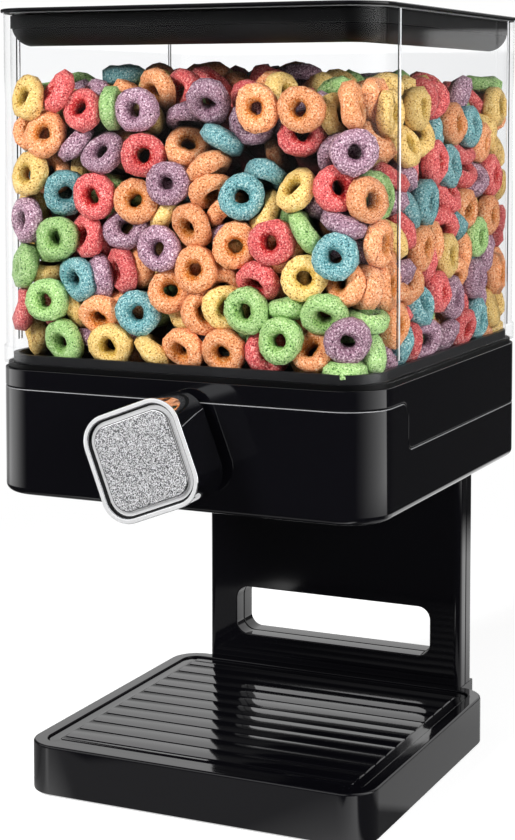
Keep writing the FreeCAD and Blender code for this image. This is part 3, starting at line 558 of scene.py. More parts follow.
@dataclass
class EasedNode:
    """A copy of a CAD node whose long edges are eased as a mould leaves them."""

    node: str
    body: Body
    slot: Slot
    ease: float = 0.35 * MM
    cove: float = 0.0
    segments: int = 2
    least: float = 25 * MM
    sharp_limit: float = math.radians(40)
    smooth_limit: float = math.radians(50)
    merge: float = 0.001 * MM
    flat_limit: float = math.radians(0.4)
    flat_weight: int = 100
    front_reach: float = 0.1 * MM
    outline_corner: float = 18 * MM
    step_level: float = -41.4 * MM
    front_depth: float = 2.6 * MM
    front_edges: bool = False
    zones: tuple[Zone, ...] = ()
    limits: ZoneLimits = ZoneLimits()

    def on_seam(self, face: bpy.types.MeshPolygon, low: Array, high: Array) -> bool:
        """Tell whether a face belongs to the eased edge along the housing's stepped seam.

        Args:
            face: the face.
            low: the lowest corner of the piece.
            high: the highest corner of the piece.

        Returns:
            True if it does.
        """
        limits = self.limits
        centre = np.array(face.center)
        reach = (high - low)[:2] / 2 - self.outline_corner
        beyond = np.maximum(np.abs(centre - (low + high) / 2)[:2] - reach, 0.0)
        inside = np.linalg.norm(beyond) < self.outline_corner - limits.wall_depth
        if inside or centre[2] < low[2] + limits.foot:
            return False
        if min(abs(face.normal.z), np.linalg.norm(face.normal[:2])) > limits.slanted:
            return True
        return (abs(centre[1] - self.step_level) < limits.step_reach
                and abs(face.normal.y) > limits.step_slant)

    def zone_of(self, face: bpy.types.MeshPolygon, low: Array, high: Array) -> Zone | None:
        """Find the zone of a face.

        Args:
            face: the face.
            low: the lowest corner of the piece.
            high: the highest corner of the piece.

        Returns:
            The zone, or None where the face keeps the piece's own finish.
        """
        limits = self.limits
        normal, centre = face.normal, Vector(face.center)
        if Zone.FRONT_RIM in self.zones:
            depth = centre.y - low[1]
            if depth > self.front_depth:
                return None
            outward = centre - Vector((low + high) / 2)
            inward = normal.x * outward.x + normal.z * outward.z < 0
            if inward and normal.y > limits.groove_floor and depth > self.front_depth * limits.rim_edge:
                return Zone.RIM_INSIDE
            return Zone.FRONT_RIM if normal.y < limits.rim_front else None
        if Zone.FRONT_EDGE in self.zones and limits.front_edge[0] < normal.y < limits.front_edge[1]:
            return Zone.FRONT_EDGE
        if Zone.UNDERSIDE in self.zones and normal.z < limits.looks_down:
            return Zone.UNDERSIDE if normal.z < limits.flat_underside else Zone.LOWER_EDGE
        if (Zone.TOP_EDGE in self.zones and centre.z > high[2] - limits.top_depth
                and limits.top_edge[0] < normal.z < limits.top_edge[1]):
            return Zone.TOP_EDGE
        if Zone.SEAM_EDGE in self.zones and self.on_seam(face, low, high):
            return Zone.SEAM_EDGE
        return None

    def give_zones(self, piece: Piece, seconds: dict[Zone, Material]) -> None:
        """Give the faces of each zone their own finish.

        Args:
            piece: the piece.
            seconds: the finish of each zone.
        """
        places = np.array([vertex.co[:] for vertex in piece.data.vertices])
        low, high = places.min(axis=0), places.max(axis=0)
        for zone in self.zones:
            piece.data.materials.append(seconds[zone])
        for face in piece.data.polygons:
            zone = self.zone_of(face, low, high)
            if zone:
                face.material_index = 1 + self.zones.index(zone)

    def build(self, frame: dict, materials: dict[Slot, Material],
              seconds: dict[Zone, Material]) -> Piece:
        """Build and dress the piece.

        Args:
            materials: the material of each slot.
            seconds: the finish of each zone.

        Returns:
            The piece.
        """
        mesh = bmesh.new()
        mesh.from_mesh(frame["nodes"][self.node].data)
        bmesh.ops.remove_doubles(mesh, verts=mesh.verts, dist=self.merge)
        bmesh.ops.dissolve_limit(
            mesh, angle_limit=self.flat_limit, verts=mesh.verts, edges=mesh.edges,
            use_dissolve_boundaries=False, delimit={"NORMAL"})
        edges = long_sharp_edges(mesh, self.sharp_limit, self.least)
        front = min(vertex.co.y for vertex in mesh.verts)
        if self.front_edges:
            edges = [edge for edge in edges if max(v.co.y for v in edge.verts) < front + self.front_reach]
        coved = [edge for edge in edges if self.cove and not edge.is_convex and all(
            MM < vertex.co.y - front < self.front_depth for vertex in edge.verts)]
        edges = [edge for edge in edges if edge not in coved]
        for group, offset in ((coved, self.cove), (edges, self.ease)):
            bmesh.ops.bevel(
                mesh, geom=group, offset=offset, offset_type="OFFSET", segments=self.segments,
                profile=ROUND_PROFILE, affect="EDGES", material=-1, clamp_overlap=False)
        piece = new_piece(f"{self.node}_finished", mesh, materials[self.slot])
        piece.data.set_sharp_from_angle(angle=self.smooth_limit)
        self.give_zones(piece, seconds)
        modifier = piece.modifiers.new("flat_faces", "WEIGHTED_NORMAL")
        modifier.weight = self.flat_weight
        modifier.keep_sharp = True
        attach(piece, self.body.value)
        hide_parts(self.node)
        return piece


@dataclass
class CornerLines:
    """The fine upright lines where the canister's rounded corners run into its side walls: a painted
    highlight and a painted dark reflection, carried by low ribs.
    """

    name: str
    finish: Finish
    corner: float
    width: float
    lift: float
    wall: float = 79.6 * MM
    low: float = 178.6 * MM
    high: float = 305.4 * MM
    sides: int = 8

    def build(self) -> Piece:
        """Build and dress the four lines, as low half-round ribs on the side walls.

        Returns:
            The piece.
        """
        near, far = (Vector(corner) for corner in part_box("canister"))
        mesh = bmesh.new()
        for side, place in itertools.product((-1, 1), (near.y + self.corner, far.y - self.corner)):
            rib = bmesh.ops.create_circle(
                mesh, segments=self.sides, radius=self.width / 2, cap_ends=True)["verts"]
            bmesh.ops.scale(mesh, vec=(2 * self.lift / self.width, 1, 1), verts=rib)
            bmesh.ops.translate(mesh, vec=(side * self.wall, place, self.low), verts=rib)
            raised = bmesh.ops.extrude_face_region(mesh, geom=[rib[0].link_faces[0]])["geom"]
            top = [item for item in raised if isinstance(item, bmesh.types.BMVert)]
            bmesh.ops.translate(mesh, vec=(0, 0, self.high - self.low), verts=top)
        bmesh.ops.recalc_face_normals(mesh, faces=mesh.faces)
        piece = new_piece(self.name, mesh, self.finish.material())
        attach(piece, Body.CANISTER.value)
        return piece


# A line of painted highlight and a line of painted dark reflection beside it, on each side wall near each
# corner.
CORNER_LINES = (
    CornerLines("canister_corner_painted_highlight_lines", Finish(
        "clear_corner_painted_highlight", (0.85, 0.86, 0.88), (0.3, 0.4), grain=300.0, tint=0.03),
        corner=24.7 * MM, width=1.1 * MM, lift=0.25 * MM),
    CornerLines("canister_corner_painted_dark_lines", Finish(
        "clear_corner_painted_dark_reflection", (0.03, 0.03, 0.032), (0.2, 0.3), grain=300.0, tint=0.04),
        corner=22.6 * MM, width=0.8 * MM, lift=0.2 * MM),
)


@dataclass
class RibbedTray:
    """The lift-out tray: flat border, crowned ribs and narrow grooves between them."""

    border: float = 4.2 * MM
    border_slope: float = 0.5 * MM
    edge: float = 0.4 * MM
    first_groove: float = 9.5 * MM
    pitch: float = 10.9 * MM
    grooves: int = 11
    groove_half: float = 0.65 * MM
    groove_depth: float = 0.9 * MM
    wall_lines: Range = (0.6, 1.02)
    crown: float = 0.3 * MM
    crown_steps: int = 6
    corner: float = 6.6 * MM
    corner_steps: int = 8
    recess_front: float = -58.5 * MM
    smooth_limit: float = math.radians(38)
    tolerance: float = 1e-7
    cut_tolerance: float = 1e-8

    def relief(self, across: float) -> float:
        """Give the height of the ribs at a distance from the front.

        Args:
            across: the Y coordinate.

        Returns:
            The height over the border.
        """
        place = (across - self.recess_front - self.first_groove) / self.pitch
        nearest = min(max(round(place), 0), self.grooves - 1)
        from_groove = abs(place - nearest) * self.pitch
        if from_groove < self.groove_half:
            return -self.groove_depth
        share = min(1.0, (from_groove - self.groove_half) / (self.pitch / 2 - self.groove_half))
        return self.crown * math.sin(share * math.pi / 2)

    def lines(self) -> list[float]:
        """Find where the top is cut across, at the grooves' walls and on the ribs' crowns.

        Returns:
            The Y coordinates, in order.
        """
        step = (self.pitch / 2 - self.groove_half) / self.crown_steps
        reaches = [self.groove_half * wall for wall in self.wall_lines]
        reaches += [self.groove_half + step * number for number in range(1, self.crown_steps + 1)]
        places = set()
        for index in range(self.grooves):
            middle = self.recess_front + self.first_groove + index * self.pitch
            places |= {round(middle + side * reach, 7) for side in (-1, 1) for reach in reaches}
        return sorted(places)

    @staticmethod
    def field_of(mesh: Mesh, least_up: float = 0.9) -> bmesh.types.BMFace:
        """Find the largest face that looks up."""
        return max(mesh.faces, key=lambda face: face.calc_area() if face.normal.z > least_up else 0.0)

    def build(self, materials: dict[Slot, Material]) -> Piece:
        """Build and dress the tray.

        Args:
            materials: the material of each slot.

        Returns:
            The piece.
        """
        low, high = (Vector(corner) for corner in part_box("catch_tray"))
        mesh = bmesh.new()
        marker = mesh.faces.layers.int.new("ribs")
        bmesh.ops.create_cube(mesh, size=1.0)
        bmesh.ops.scale(mesh, vec=high - low, verts=mesh.verts)
        bmesh.ops.translate(mesh, vec=(high + low) / 2, verts=mesh.verts)
        uprights = [edge for edge in mesh.edges if abs(edge.verts[0].co.z - edge.verts[1].co.z) > MM]
        bmesh.ops.bevel(
            mesh, geom=uprights, offset=self.corner, offset_type="OFFSET", segments=self.corner_steps,
            profile=ROUND_PROFILE, affect="EDGES", material=-1)
        top = max(mesh.faces, key=lambda face: face.calc_center_median().z)
        bmesh.ops.inset_region(mesh, faces=[top], thickness=self.edge, depth=0.0, use_even_offset=True)
        top = self.field_of(mesh)
        inner = set(top.verts)
        for vertex in mesh.verts:
            if vertex.co.z > high.z - self.tolerance and vertex not in inner:
                vertex.co.z -= self.edge
        bmesh.ops.inset_region(mesh, faces=[top], thickness=self.border, depth=0.0, use_even_offset=True)
        top = self.field_of(mesh)
        fixed = set(top.verts)
        bmesh.ops.inset_region(
            mesh, faces=[top], thickness=self.border_slope, depth=0.0, use_even_offset=True)
        self.field_of(mesh)[marker] = 1
        for place in self.lines():
            faces = [face for face in mesh.faces if face[marker] == 1]
            parts = {*faces, *(edge for face in faces for edge in face.edges),
                     *(vertex for face in faces for vertex in face.verts)}
            bmesh.ops.bisect_plane(
                mesh, geom=list(parts), plane_co=(0, place, 0), plane_no=(0, 1, 0), dist=self.cut_tolerance)
        moved = {vertex for face in mesh.faces if face[marker] == 1 for vertex in face.verts} - fixed
        for vertex in moved:
            vertex.co.z += self.relief(vertex.co.y)
        bmesh.ops.recalc_face_normals(mesh, faces=mesh.faces)
        piece = new_piece("catch_tray_ribbed", mesh, materials[Slot.GLOSS_BLACK])
        piece.data.set_sharp_from_angle(angle=self.smooth_limit)
        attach(piece, Body.TRAY.value)
        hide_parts("catch_tray")
        return piece


@dataclass
class RingPacking:
    """Puffed rings that fill the canister, settled by pushing touching rings apart. Millimetres."""

    count: int = 1385
    ring_radius: float = 5.7
    tube_radius: float = 3.4
    balls: int = 9
    half_width: float = 76.8
    front: float = -71.9
    rear: float = 96.7
    corner: float = 14.4
    floor: float = 172.2
    rim_top: float = 175.2
    rim_step: float = 1.8
    top: float = 284.5
    top_swell: float = 4.5
    swell_lengths: Place = (13.0, 17.0, 29.0)
    swell_phases: Range = (0.6, 2.0)
    open_top: float = 1e6
    margin: float = 4.0
    wall_reach: float = 14.0
    wall_wobble: float = 0.55
    steps: int = 360
    skin: float = 2.4
    renew: int = 6
    shift_gain: float = 1.4
    turn_gain: float = 1.2
    most_turn: float = 0.25
    pull: float = 0.05
    pull_share: float = 0.75
    deepest_touch: float = 1.9
    least_length: float = 1e-6
    least_turn: float = 1e-9
    seed: int = 7
    places: Array = field(init=False)
    turns: Array = field(init=False)

    def scatter(self) -> None:
        """Give every ring a first place and turn, those near a wall mostly facing it."""
        rng = np.random.default_rng(self.seed)
        low = np.array([-self.half_width, self.front, self.floor]) + self.margin
        high = np.array([self.half_width, self.rear, self.top]) - self.margin
        self.places = rng.uniform(low, high, (self.count, 3))
        axes = rng.normal(size=(self.count, 3))
        walls = np.stack([
            self.half_width - self.places[:, 0], self.half_width + self.places[:, 0],
            self.places[:, 1] - self.front, self.rear - self.places[:, 1]], axis=1)
        outward = np.array([[1.0, 0, 0], [-1.0, 0, 0], [0, -1.0, 0], [0, 1.0, 0]])
        near = walls.min(axis=1) < self.wall_reach
        facing = outward[walls.argmin(axis=1)] + self.wall_wobble * rng.normal(size=(self.count, 3))
        axes[near] = facing[near]
        axes /= np.linalg.norm(axes, axis=1)[:, None]
        side = np.cross(axes, rng.normal(size=(self.count, 3)))
        side /= np.linalg.norm(side, axis=1)[:, None]
        self.turns = np.stack([side, np.cross(axes, side), axes], axis=2)

    def neighbours(self, points: Array) -> tuple[Array, Array]:
        """Find the balls of different rings that are near each other.

        Args:
            points: the balls' centres.

        Returns:
            The indices of the two balls of each pair.
        """
        reach = 2 * self.tube_radius + self.skin
        cells = np.floor((points - points.min(axis=0)) / reach).astype(np.int64) + 1
        span = cells.max(axis=0) + 2
        keys = (cells[:, 0] * span[1] + cells[:, 1]) * span[2] + cells[:, 2]
        order = np.argsort(keys, kind="stable")
        ordered = keys[order]
        every = np.arange(len(points))
        own = (0, 0, 0)
        firsts, seconds = [], []
        for cell in itertools.product((-1, 0, 1), repeat=3):
            if cell < own:
                continue
            wanted = keys + (cell[0] * span[1] + cell[1]) * span[2] + cell[2]
            start = np.searchsorted(ordered, wanted, "left")
            amount = np.searchsorted(ordered, wanted, "right") - start
            first = np.repeat(every, amount)
            offset = np.arange(amount.sum()) - np.repeat(np.cumsum(amount) - amount, amount)
            second = order[np.repeat(start, amount) + offset]
            keep = first // self.balls != second // self.balls
            if cell == own:
                keep &= first < second
            firsts.append(first[keep])
            seconds.append(second[keep])
        first, second = np.concatenate(firsts), np.concatenate(seconds)
        near = np.linalg.norm(points[first] - points[second], axis=1) < reach
        return first[near], second[near]

    def surface(self, points: Array) -> Array:
        """Give how high the heap may reach at each point.

        Args:
            points: the points.

        Returns:
            One height for each point.
        """
        across, along, wide = self.swell_lengths
        first, second = self.swell_phases
        swell = (np.sin(points[:, 0] / across + first) * np.cos(points[:, 1] / along)
                 + np.sin(points[:, 0] / wide + second))
        return self.top + self.top_swell * swell / 2

    def depth(self, points: Array) -> Array:
        """Give how deep each point lies in the heap, behind the nearest wall or below its top."""
        return np.stack([
            self.half_width - np.abs(points[:, 0]), points[:, 1] - self.front, self.rear - points[:, 1],
            self.surface(points) - points[:, 2] - self.top_swell], axis=1).min(axis=1)

    def wall_push(self, points: Array) -> Array:
        """Give how far each ball must move to be inside the canister.

        Args:
            points: the balls' centres.

        Returns:
            One move for each ball.
        """
        tube = self.tube_radius
        step = np.where(points[:, 2:] - tube < self.rim_top, self.rim_step, 0.0) * np.array([1.0, 1.0, 0.0])
        low = np.array([-self.half_width + tube, self.front + tube, self.floor + tube]) + step
        high = np.array([self.half_width - tube, self.rear - tube, self.open_top]) - step
        push = np.maximum(low - points, 0) + np.minimum(high - points, 0)
        push[:, 2] += np.minimum(self.surface(points) - tube - points[:, 2], 0)
        middle = (self.front + self.rear) / 2
        reach = np.array([self.half_width, (self.rear - self.front) / 2]) - self.corner
        flat = points[:, :2] - np.array([0.0, middle])
        beyond = np.abs(flat) - reach
        length = np.linalg.norm(beyond, axis=1)
        excess = length - (self.corner - tube)
        out = (beyond > 0).all(axis=1) & (excess > 0)
        inward = -np.sign(flat) * beyond / np.maximum(length, self.least_length)[:, None] * excess[:, None]
        push[out, :2] = inward[out]
        return push

    def settle(self) -> None:
        """Push touching rings apart, with a slight pull downwards, until they lie still."""
        angles = np.arange(self.balls - 1) * 2 * math.pi / (self.balls - 1)
        local = self.ring_radius * np.stack([np.cos(angles), np.sin(angles), 0 * angles], axis=1)
        local = np.vstack([local, np.zeros(3)])
        size = self.count * self.balls
        for step in range(self.steps):
            arms = np.einsum("nij,bj->nbi", self.turns, local)
            points = (self.places[:, None, :] + arms).reshape(-1, 3)
            if step % self.renew == 0:
                pairs = self.neighbours(points)
            line = points[pairs[1]] - points[pairs[0]]
            gap = np.linalg.norm(line, axis=1)
            close = (gap < 2 * self.tube_radius) & (gap > self.least_length)
            first, second, line, gap = pairs[0][close], pairs[1][close], line[close], gap[close]
            push = line / gap[:, None] * ((2 * self.tube_radius - gap) / 2)[:, None]
            move = self.wall_push(points)
            hits = (np.abs(move).sum(axis=1) > 0).astype(float)
            for axis in range(3):
                move[:, axis] += np.bincount(second, push[:, axis], size)
                move[:, axis] -= np.bincount(first, push[:, axis], size)
            hits += np.bincount(first, minlength=size) + np.bincount(second, minlength=size)
            move = move.reshape(self.count, self.balls, 3)
            hits = np.maximum(hits.reshape(self.count, self.balls).sum(axis=1), 1.0)[:, None]
            shift = move.sum(axis=1) / hits * self.shift_gain
            shift[:, 2] -= self.pull * max(0.0, 1.0 - step / (self.steps * self.pull_share))
            self.places += shift
            self.turn(np.cross(arms, move).sum(axis=1) / (self.ring_radius ** 2 * hits) * self.turn_gain)
        deep = gap < 2 * self.tube_radius - self.deepest_touch
        self.thin_out(set(zip((first[deep] // self.balls).tolist(), (second[deep] // self.balls).tolist())))

    def thin_out(self, pairs: set[tuple[int, int]]) -> None:
        """Take out one ring of each pair that still lies deep in the other, the one further in.

        Args:
            pairs: the pairs, as indices of rings.
        """
        depths = self.depth(self.places)
        kept = np.ones(self.count, dtype=bool)
        for first, second in sorted(pairs):
            if kept[first] and kept[second]:
                kept[first if depths[first] > depths[second] else second] = False
        LOG.info("rings taken out: %d", self.count - kept.sum())
        self.places, self.turns = self.places[kept], self.turns[kept]
        self.count = int(kept.sum())

    def turn(self, spin: Array) -> None:
        """Turn every ring by a small vector, keeping its axes square.

        Args:
            spin: one vector for each ring, its length the angle in radians.
        """
        size = np.linalg.norm(spin, axis=1)
        spin = spin * np.minimum(1.0, self.most_turn / np.maximum(size, self.least_turn))[:, None]
        columns = [self.turns[:, :, i] + np.cross(spin, self.turns[:, :, i]) for i in (0, 2)]
        axis = columns[1] / np.linalg.norm(columns[1], axis=1)[:, None]
        side = columns[0] - axis * (columns[0] * axis).sum(axis=1)[:, None]
        side /= np.linalg.norm(side, axis=1)[:, None]
        self.turns = np.stack([side, np.cross(axis, side), axis], axis=2)


@dataclass
class SugarRings:
    """The rings in their colours, each colour one piece."""

    packing: RingPacking = field(default_factory=RingPacking)
    around: int = 14
    section: int = 6
    shapes: int = 6
    lump: float = 0.15
    oval: float = 0.07
    swells: tuple[tuple[int, float], ...] = ((2, 0.07), (3, 0.05))
    tall: float = 1.12
    merge: float = 1e-4
    first_shape_seed: int = 100
    colour_seed: int = 3
    finishes: tuple[SugarFinish, ...] = (
        SugarFinish("ring_orange", seen(150, 66, 30), seen(236, 156, 104), seen(248, 214, 178), 0.22),
        SugarFinish("ring_red", seen(118, 22, 36), seen(214, 92, 92), seen(244, 178, 168), 0.17),
        SugarFinish("ring_yellow", seen(146, 96, 40), seen(234, 196, 118), seen(248, 226, 170), 0.2),
        SugarFinish("ring_teal", seen(16, 58, 68), seen(108, 162, 166), seen(196, 220, 216), 0.13),
        SugarFinish("ring_purple", seen(44, 18, 32), seen(158, 120, 138), seen(234, 212, 220), 0.15),
        SugarFinish("ring_green", seen(44, 84, 36), seen(152, 190, 118), seen(206, 224, 174), 0.13),
    )

    def shape(self, index: int) -> bpy.types.Mesh:
        """Build one lumpy ring round the Z axis, in millimetres.

        Args:
            index: which of the shapes it is.

        Returns:
            The mesh.
        """
        rng = np.random.default_rng(self.first_shape_seed + index)
        packing = self.packing
        mesh = bmesh.new()
        profile = bmesh.ops.create_circle(
            mesh, segments=self.section, radius=packing.tube_radius, cap_ends=False,
            matrix=Matrix.Translation((packing.ring_radius, 0, 0)) @ Matrix.Rotation(math.pi / 2, 4, "X"))
        bmesh.ops.spin(
            mesh, geom=profile["verts"] + list(mesh.edges), cent=(0, 0, 0), axis=(0, 0, 1),
            angle=2 * math.pi, steps=self.around, use_merge=True, use_duplicate=False)
        bmesh.ops.remove_doubles(mesh, verts=mesh.verts, dist=self.merge)
        phases = rng.uniform(0, 2 * math.pi, 4)
        oval = rng.uniform(-self.oval, self.oval)
        for vertex in mesh.verts:
            angle = math.atan2(vertex.co.y, vertex.co.x)
            swell = 1.0
            for (waves, size), phase in zip(self.swells, phases):
                swell += size * math.sin(waves * angle + phase)
            centre = Vector((math.cos(angle), math.sin(angle), 0)) * packing.ring_radius
            vertex.co = centre + (vertex.co - centre) * swell
            vertex.co.z *= self.tall
            vertex.co += Vector(rng.normal(scale=self.lump, size=3))
            vertex.co.x *= 1 + oval
            vertex.co.y *= 1 - oval
        bmesh.ops.recalc_face_normals(mesh, faces=mesh.faces)
        data = bpy.data.meshes.new(f"ring_shape_{index}")
        mesh.to_mesh(data)
        mesh.free()
        return data

    def build(self) -> list[Piece]:
        """Settle the rings and build one piece for each colour.

        Returns:
            The pieces.
        """
        packing = self.packing
        packing.scatter()
        packing.settle()
        rng = np.random.default_rng(self.colour_seed)
        shapes = [self.shape(index) for index in range(self.shapes)]
        shares = np.array([finish.share for finish in self.finishes])
        ends = np.cumsum(shares) / shares.sum()
        colours = np.searchsorted(ends, rng.permutation(packing.count) / packing.count, "right")
        kinds = rng.integers(0, self.shapes, packing.count)
        tones = rng.uniform(0, 1, packing.count)
        LOG.info("rings: highest %.1f mm", packing.places[:, 2].max())
        pieces = []
        for colour, finish in enumerate(self.finishes):
            mesh = bmesh.new()
            tone, depth, hollow = (mesh.verts.layers.float.new(name) for name in SugarFinish.attributes)
            for index in np.flatnonzero(colours == colour):
                before = len(mesh.verts)
                mesh.from_mesh(shapes[kinds[index]])
                mesh.verts.ensure_lookup_table()
                fresh = mesh.verts[before:]
                for vertex in fresh:
                    vertex[tone] = tones[index]
                    # How near the hole a point lies, which the finish turns into painted shade and more
                    # saturation.
                    vertex[hollow] = 1 - vertex.co.xy.length / packing.ring_radius
                turn = Matrix(packing.turns[index].tolist()).to_4x4()
                place = Matrix.Translation(packing.places[index].tolist())
                bmesh.ops.transform(mesh, matrix=Matrix.Scale(MM, 4) @ place @ turn, verts=fresh)
                # Depth into the heap, which the finish turns into painted shade.
                depths = packing.depth(np.array([vertex.co[:] for vertex in fresh]) / MM)
                for vertex, value in zip(fresh, depths):
                    vertex[depth] = value
            piece = new_piece(finish.name, mesh, finish.material())
            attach(piece, Body.CANISTER.value)
            pieces.append(piece)
        for shape in shapes:
            bpy.data.meshes.remove(shape)
        return pieces


@dataclass(frozen=True)
class Lamp:
    """A soft rectangular lamp that points at the object's middle, and that gloss doesn't show."""

    name: str
    place: Place
    size: Range
    watts: float
    target: Place = (0.0, 0.0, 0.16)

    def build(self) -> None:
        """Build the lamp."""
        data = bpy.data.lights.new(self.name, "AREA")
        data.shape = "RECTANGLE"
        data.size, data.size_y = self.size
        data.energy = self.watts
        lamp = bpy.data.objects.new(self.name, data)
        lamp.location = self.place
        aim = Vector(self.target) - Vector(self.place)
        lamp.rotation_euler = aim.to_track_quat("-Z", "Y").to_euler()
        lamp.visible_glossy = False
        bpy.context.scene.collection.objects.link(lamp)


LAMPS = (
    Lamp("key_lamp", (-0.45, -1.0, 0.8), (0.36, 0.3), 15.5),
    Lamp("right_lamp", (1.1, -0.5, 0.6), (0.4, 0.4), 13.0),
)


@dataclass
class Studio:
    """Floor, world, lamps and camera.

    Angles run from the front, 0, towards the right. The world's heights are those of a
    direction, 0 for level and 1 for straight up. The floor's distances are in metres.
    """

    camera_place: Place = (0.32393, -0.69967, 0.27202)
    camera_yaw: float = 24.865
    camera_pitch: float = 3.967
    lens: float = 82.57
    sensor: float = 36.0
    shift: float = -0.22
    sky_for_light: float = 0.17
    sky_for_gloss: float = 0.09
    right_panel: float = 2.5
    right_sector: Fades = (sector(34, 119), sector(119, 122, 1.0, 0.0))
    rear_panel: float = 0.94
    rear_sector: Fade = sector(126, 140)
    rear_start: Fade = Fade(0.12, 0.24)
    rear_end: Fade = Fade(0.6, 0.85, 1.0, 0.0)
    left_half: Fade = Fade(-0.02, 0.02, 1.0, 0.0)
    under_lid: Fades = (Fade(-0.06, -0.045), Fade(0.0, 0.02, 1.3, 0.0))
    thin_line: Fades = (Fade(0.024, 0.027), Fade(0.035, 0.038, 1.0, 0.0))
    thin_line_sector: Fade = Fade(2.79, 2.8, 0.15, 1.2)
    left_sector: Fades = (sector(-100, -70), sector(5, 25, 1.0, 0.0))
    front_panel: float = 1.3
    front_heights: Fades = (Fade(0.28, 0.4), Fade(0.75, 0.9, 1.0, 0.0))
    low_band: float = 0.85
    low_band_heights: Fades = (Fade(0.027, 0.041, 0.25, 1.0), Fade(0.0395, 0.0425, 1.0, 0.0))
    floor_size: float = 6.0
    floor_colour: float = 0.8
    floor_lift: float = 0.63
    white_floor: Fade = Fade(0.24, 0.5)
    behind_object: Fade = sector(100, 135)
    near_floor: Fades = (Fade(0.1, 0.3, 0.5, 1.2), Fade(0.4, 0.56, 1.0, 0.0))
    far_floor: float = 0.04
    left_panel: float = 2.2
    left_glow: Fades = (sector(-75, -34, 1.0, 0.0), sector(-108, -92, 0.3, 1.0))
    side_floor: Fade = Fade(0.5, 0.75)
    foot_most: float = 2.5
    foot_levels: tuple[Range, ...] = (
        (-80, 0.3), (-68, 0.8), (-63.5, 2.0), (-54.5, 0.4), (26, 0.4), (54, 1.1), (61, 1.4),
        (72, 2.1), (75, 0.12), (104, 0.12), (112, 0.5), (140, 0.5))
    foot_reach: Fade = Fade(0.12, 0.135, 1.0, 0.0)
    beside_corners: Fade = sector(32, 42, 0.0, 0.045)

    def rays(self, nodes: Nodes, *kinds: str) -> Socket:
        """Give one for the named kinds of ray, nothing for the others."""
        path = nodes.add("ShaderNodeLightPath")
        return nodes.chain("MAXIMUM", *(path.outputs[kind] for kind in kinds))

    def directions(self, nodes: Nodes, output: str) -> tuple[Socket, Socket]:
        """Turn a place or a direction into its angle round the object and its height.

        Args:
            nodes: the tree.
            output: the output of the Texture Coordinate node to read.

        Returns:
            The angle from the front towards the right in radians, and the Z coordinate.
        """
        place = nodes.add("ShaderNodeTexCoord").outputs[output]
        parts = nodes.add("ShaderNodeSeparateXYZ", {0: place}).outputs
        ahead = nodes.math("MULTIPLY", parts["Y"], -1.0)
        return nodes.math("ARCTAN2", parts["X"], ahead), parts["Z"]

    def build_world(self) -> None:
        """Build a white surround that gives plain light, and softer panels that only gloss shows."""
        world = bpy.data.worlds.new("studio")
        bpy.context.scene.world = world
        nodes = Nodes(world)
        turn, height = self.directions(nodes, "Generated")
        under_lid = nodes.chain(
            "MULTIPLY", nodes.faded(height, *self.under_lid), nodes.faded(turn, self.left_half))
        thin_line = nodes.chain(
            "MULTIPLY", nodes.faded(height, *self.thin_line), nodes.faded(turn, self.thin_line_sector))
        rises = nodes.chain("MAXIMUM", under_lid, thin_line, nodes.faded(height, self.rear_start))
        rises = nodes.math("MULTIPLY", rises, nodes.faded(height, self.rear_end))
        behind = nodes.faded(nodes.math("ABSOLUTE", turn), self.rear_sector)
        rear = nodes.chain("MULTIPLY", behind, rises, self.rear_panel)
        right = nodes.chain("MULTIPLY", nodes.faded(turn, *self.right_sector), self.right_panel)
        left = nodes.faded(turn, *self.left_sector)
        front = nodes.chain("MULTIPLY", left, nodes.faded(height, *self.front_heights), self.front_panel)
        band = nodes.chain("MULTIPLY", nodes.faded(height, *self.low_band_heights), left, self.low_band)
        panels = nodes.chain("ADD", right, rear, front, nodes.math("ADD", band, self.sky_for_gloss))
        gloss = self.rays(nodes, "Is Glossy Ray")
        plain = nodes.math("MULTIPLY", nodes.math("SUBTRACT", 1.0, gloss), self.sky_for_light)
        level = nodes.math("ADD", plain, nodes.math("MULTIPLY", gloss, panels))
        level = nodes.math("MAXIMUM", level, self.rays(nodes, "Is Camera Ray", "Is Transmission Ray"))
        sky = nodes.add("ShaderNodeBackground", {"Color": (1.0, 1.0, 1.0, 1.0), "Strength": level})
        nodes.show(sky.outputs["Background"], "ShaderNodeOutputWorld")

    def floor_glow(self, nodes: Nodes, length: Socket) -> Socket:
        """Work out how bright gloss sees the floor.

        Args:
            nodes: the tree.
            length: the distance from the origin.

        Returns:
            The brightness.
        """
        turn = self.directions(nodes, "Object")[0]
        away = nodes.math("ABSOLUTE", turn)
        behind = nodes.math(
            "MULTIPLY", nodes.faded(away, self.behind_object), nodes.faded(length, *self.near_floor))
        marks = [((angle + 180) / 360, (level / self.foot_most,) * 3) for angle, level in self.foot_levels]
        foot = nodes.ramp(nodes.faded(turn, sector(-180, 180)), marks)
        past_corner = nodes.math("SUBTRACT", length, nodes.faded(away, self.beside_corners))
        foot = nodes.chain("MULTIPLY", foot, self.foot_most, nodes.faded(past_corner, self.foot_reach))
        right = nodes.chain("MULTIPLY", nodes.faded(turn, *self.right_sector), self.right_panel)
        left = nodes.chain("MULTIPLY", nodes.faded(turn, *self.left_glow), self.left_panel)
        sides = nodes.math("MAXIMUM", right, left)
        sides = nodes.math("MULTIPLY", sides, nodes.faded(length, self.side_floor))
        return nodes.chain("MAXIMUM", behind, foot, self.far_floor, sides)

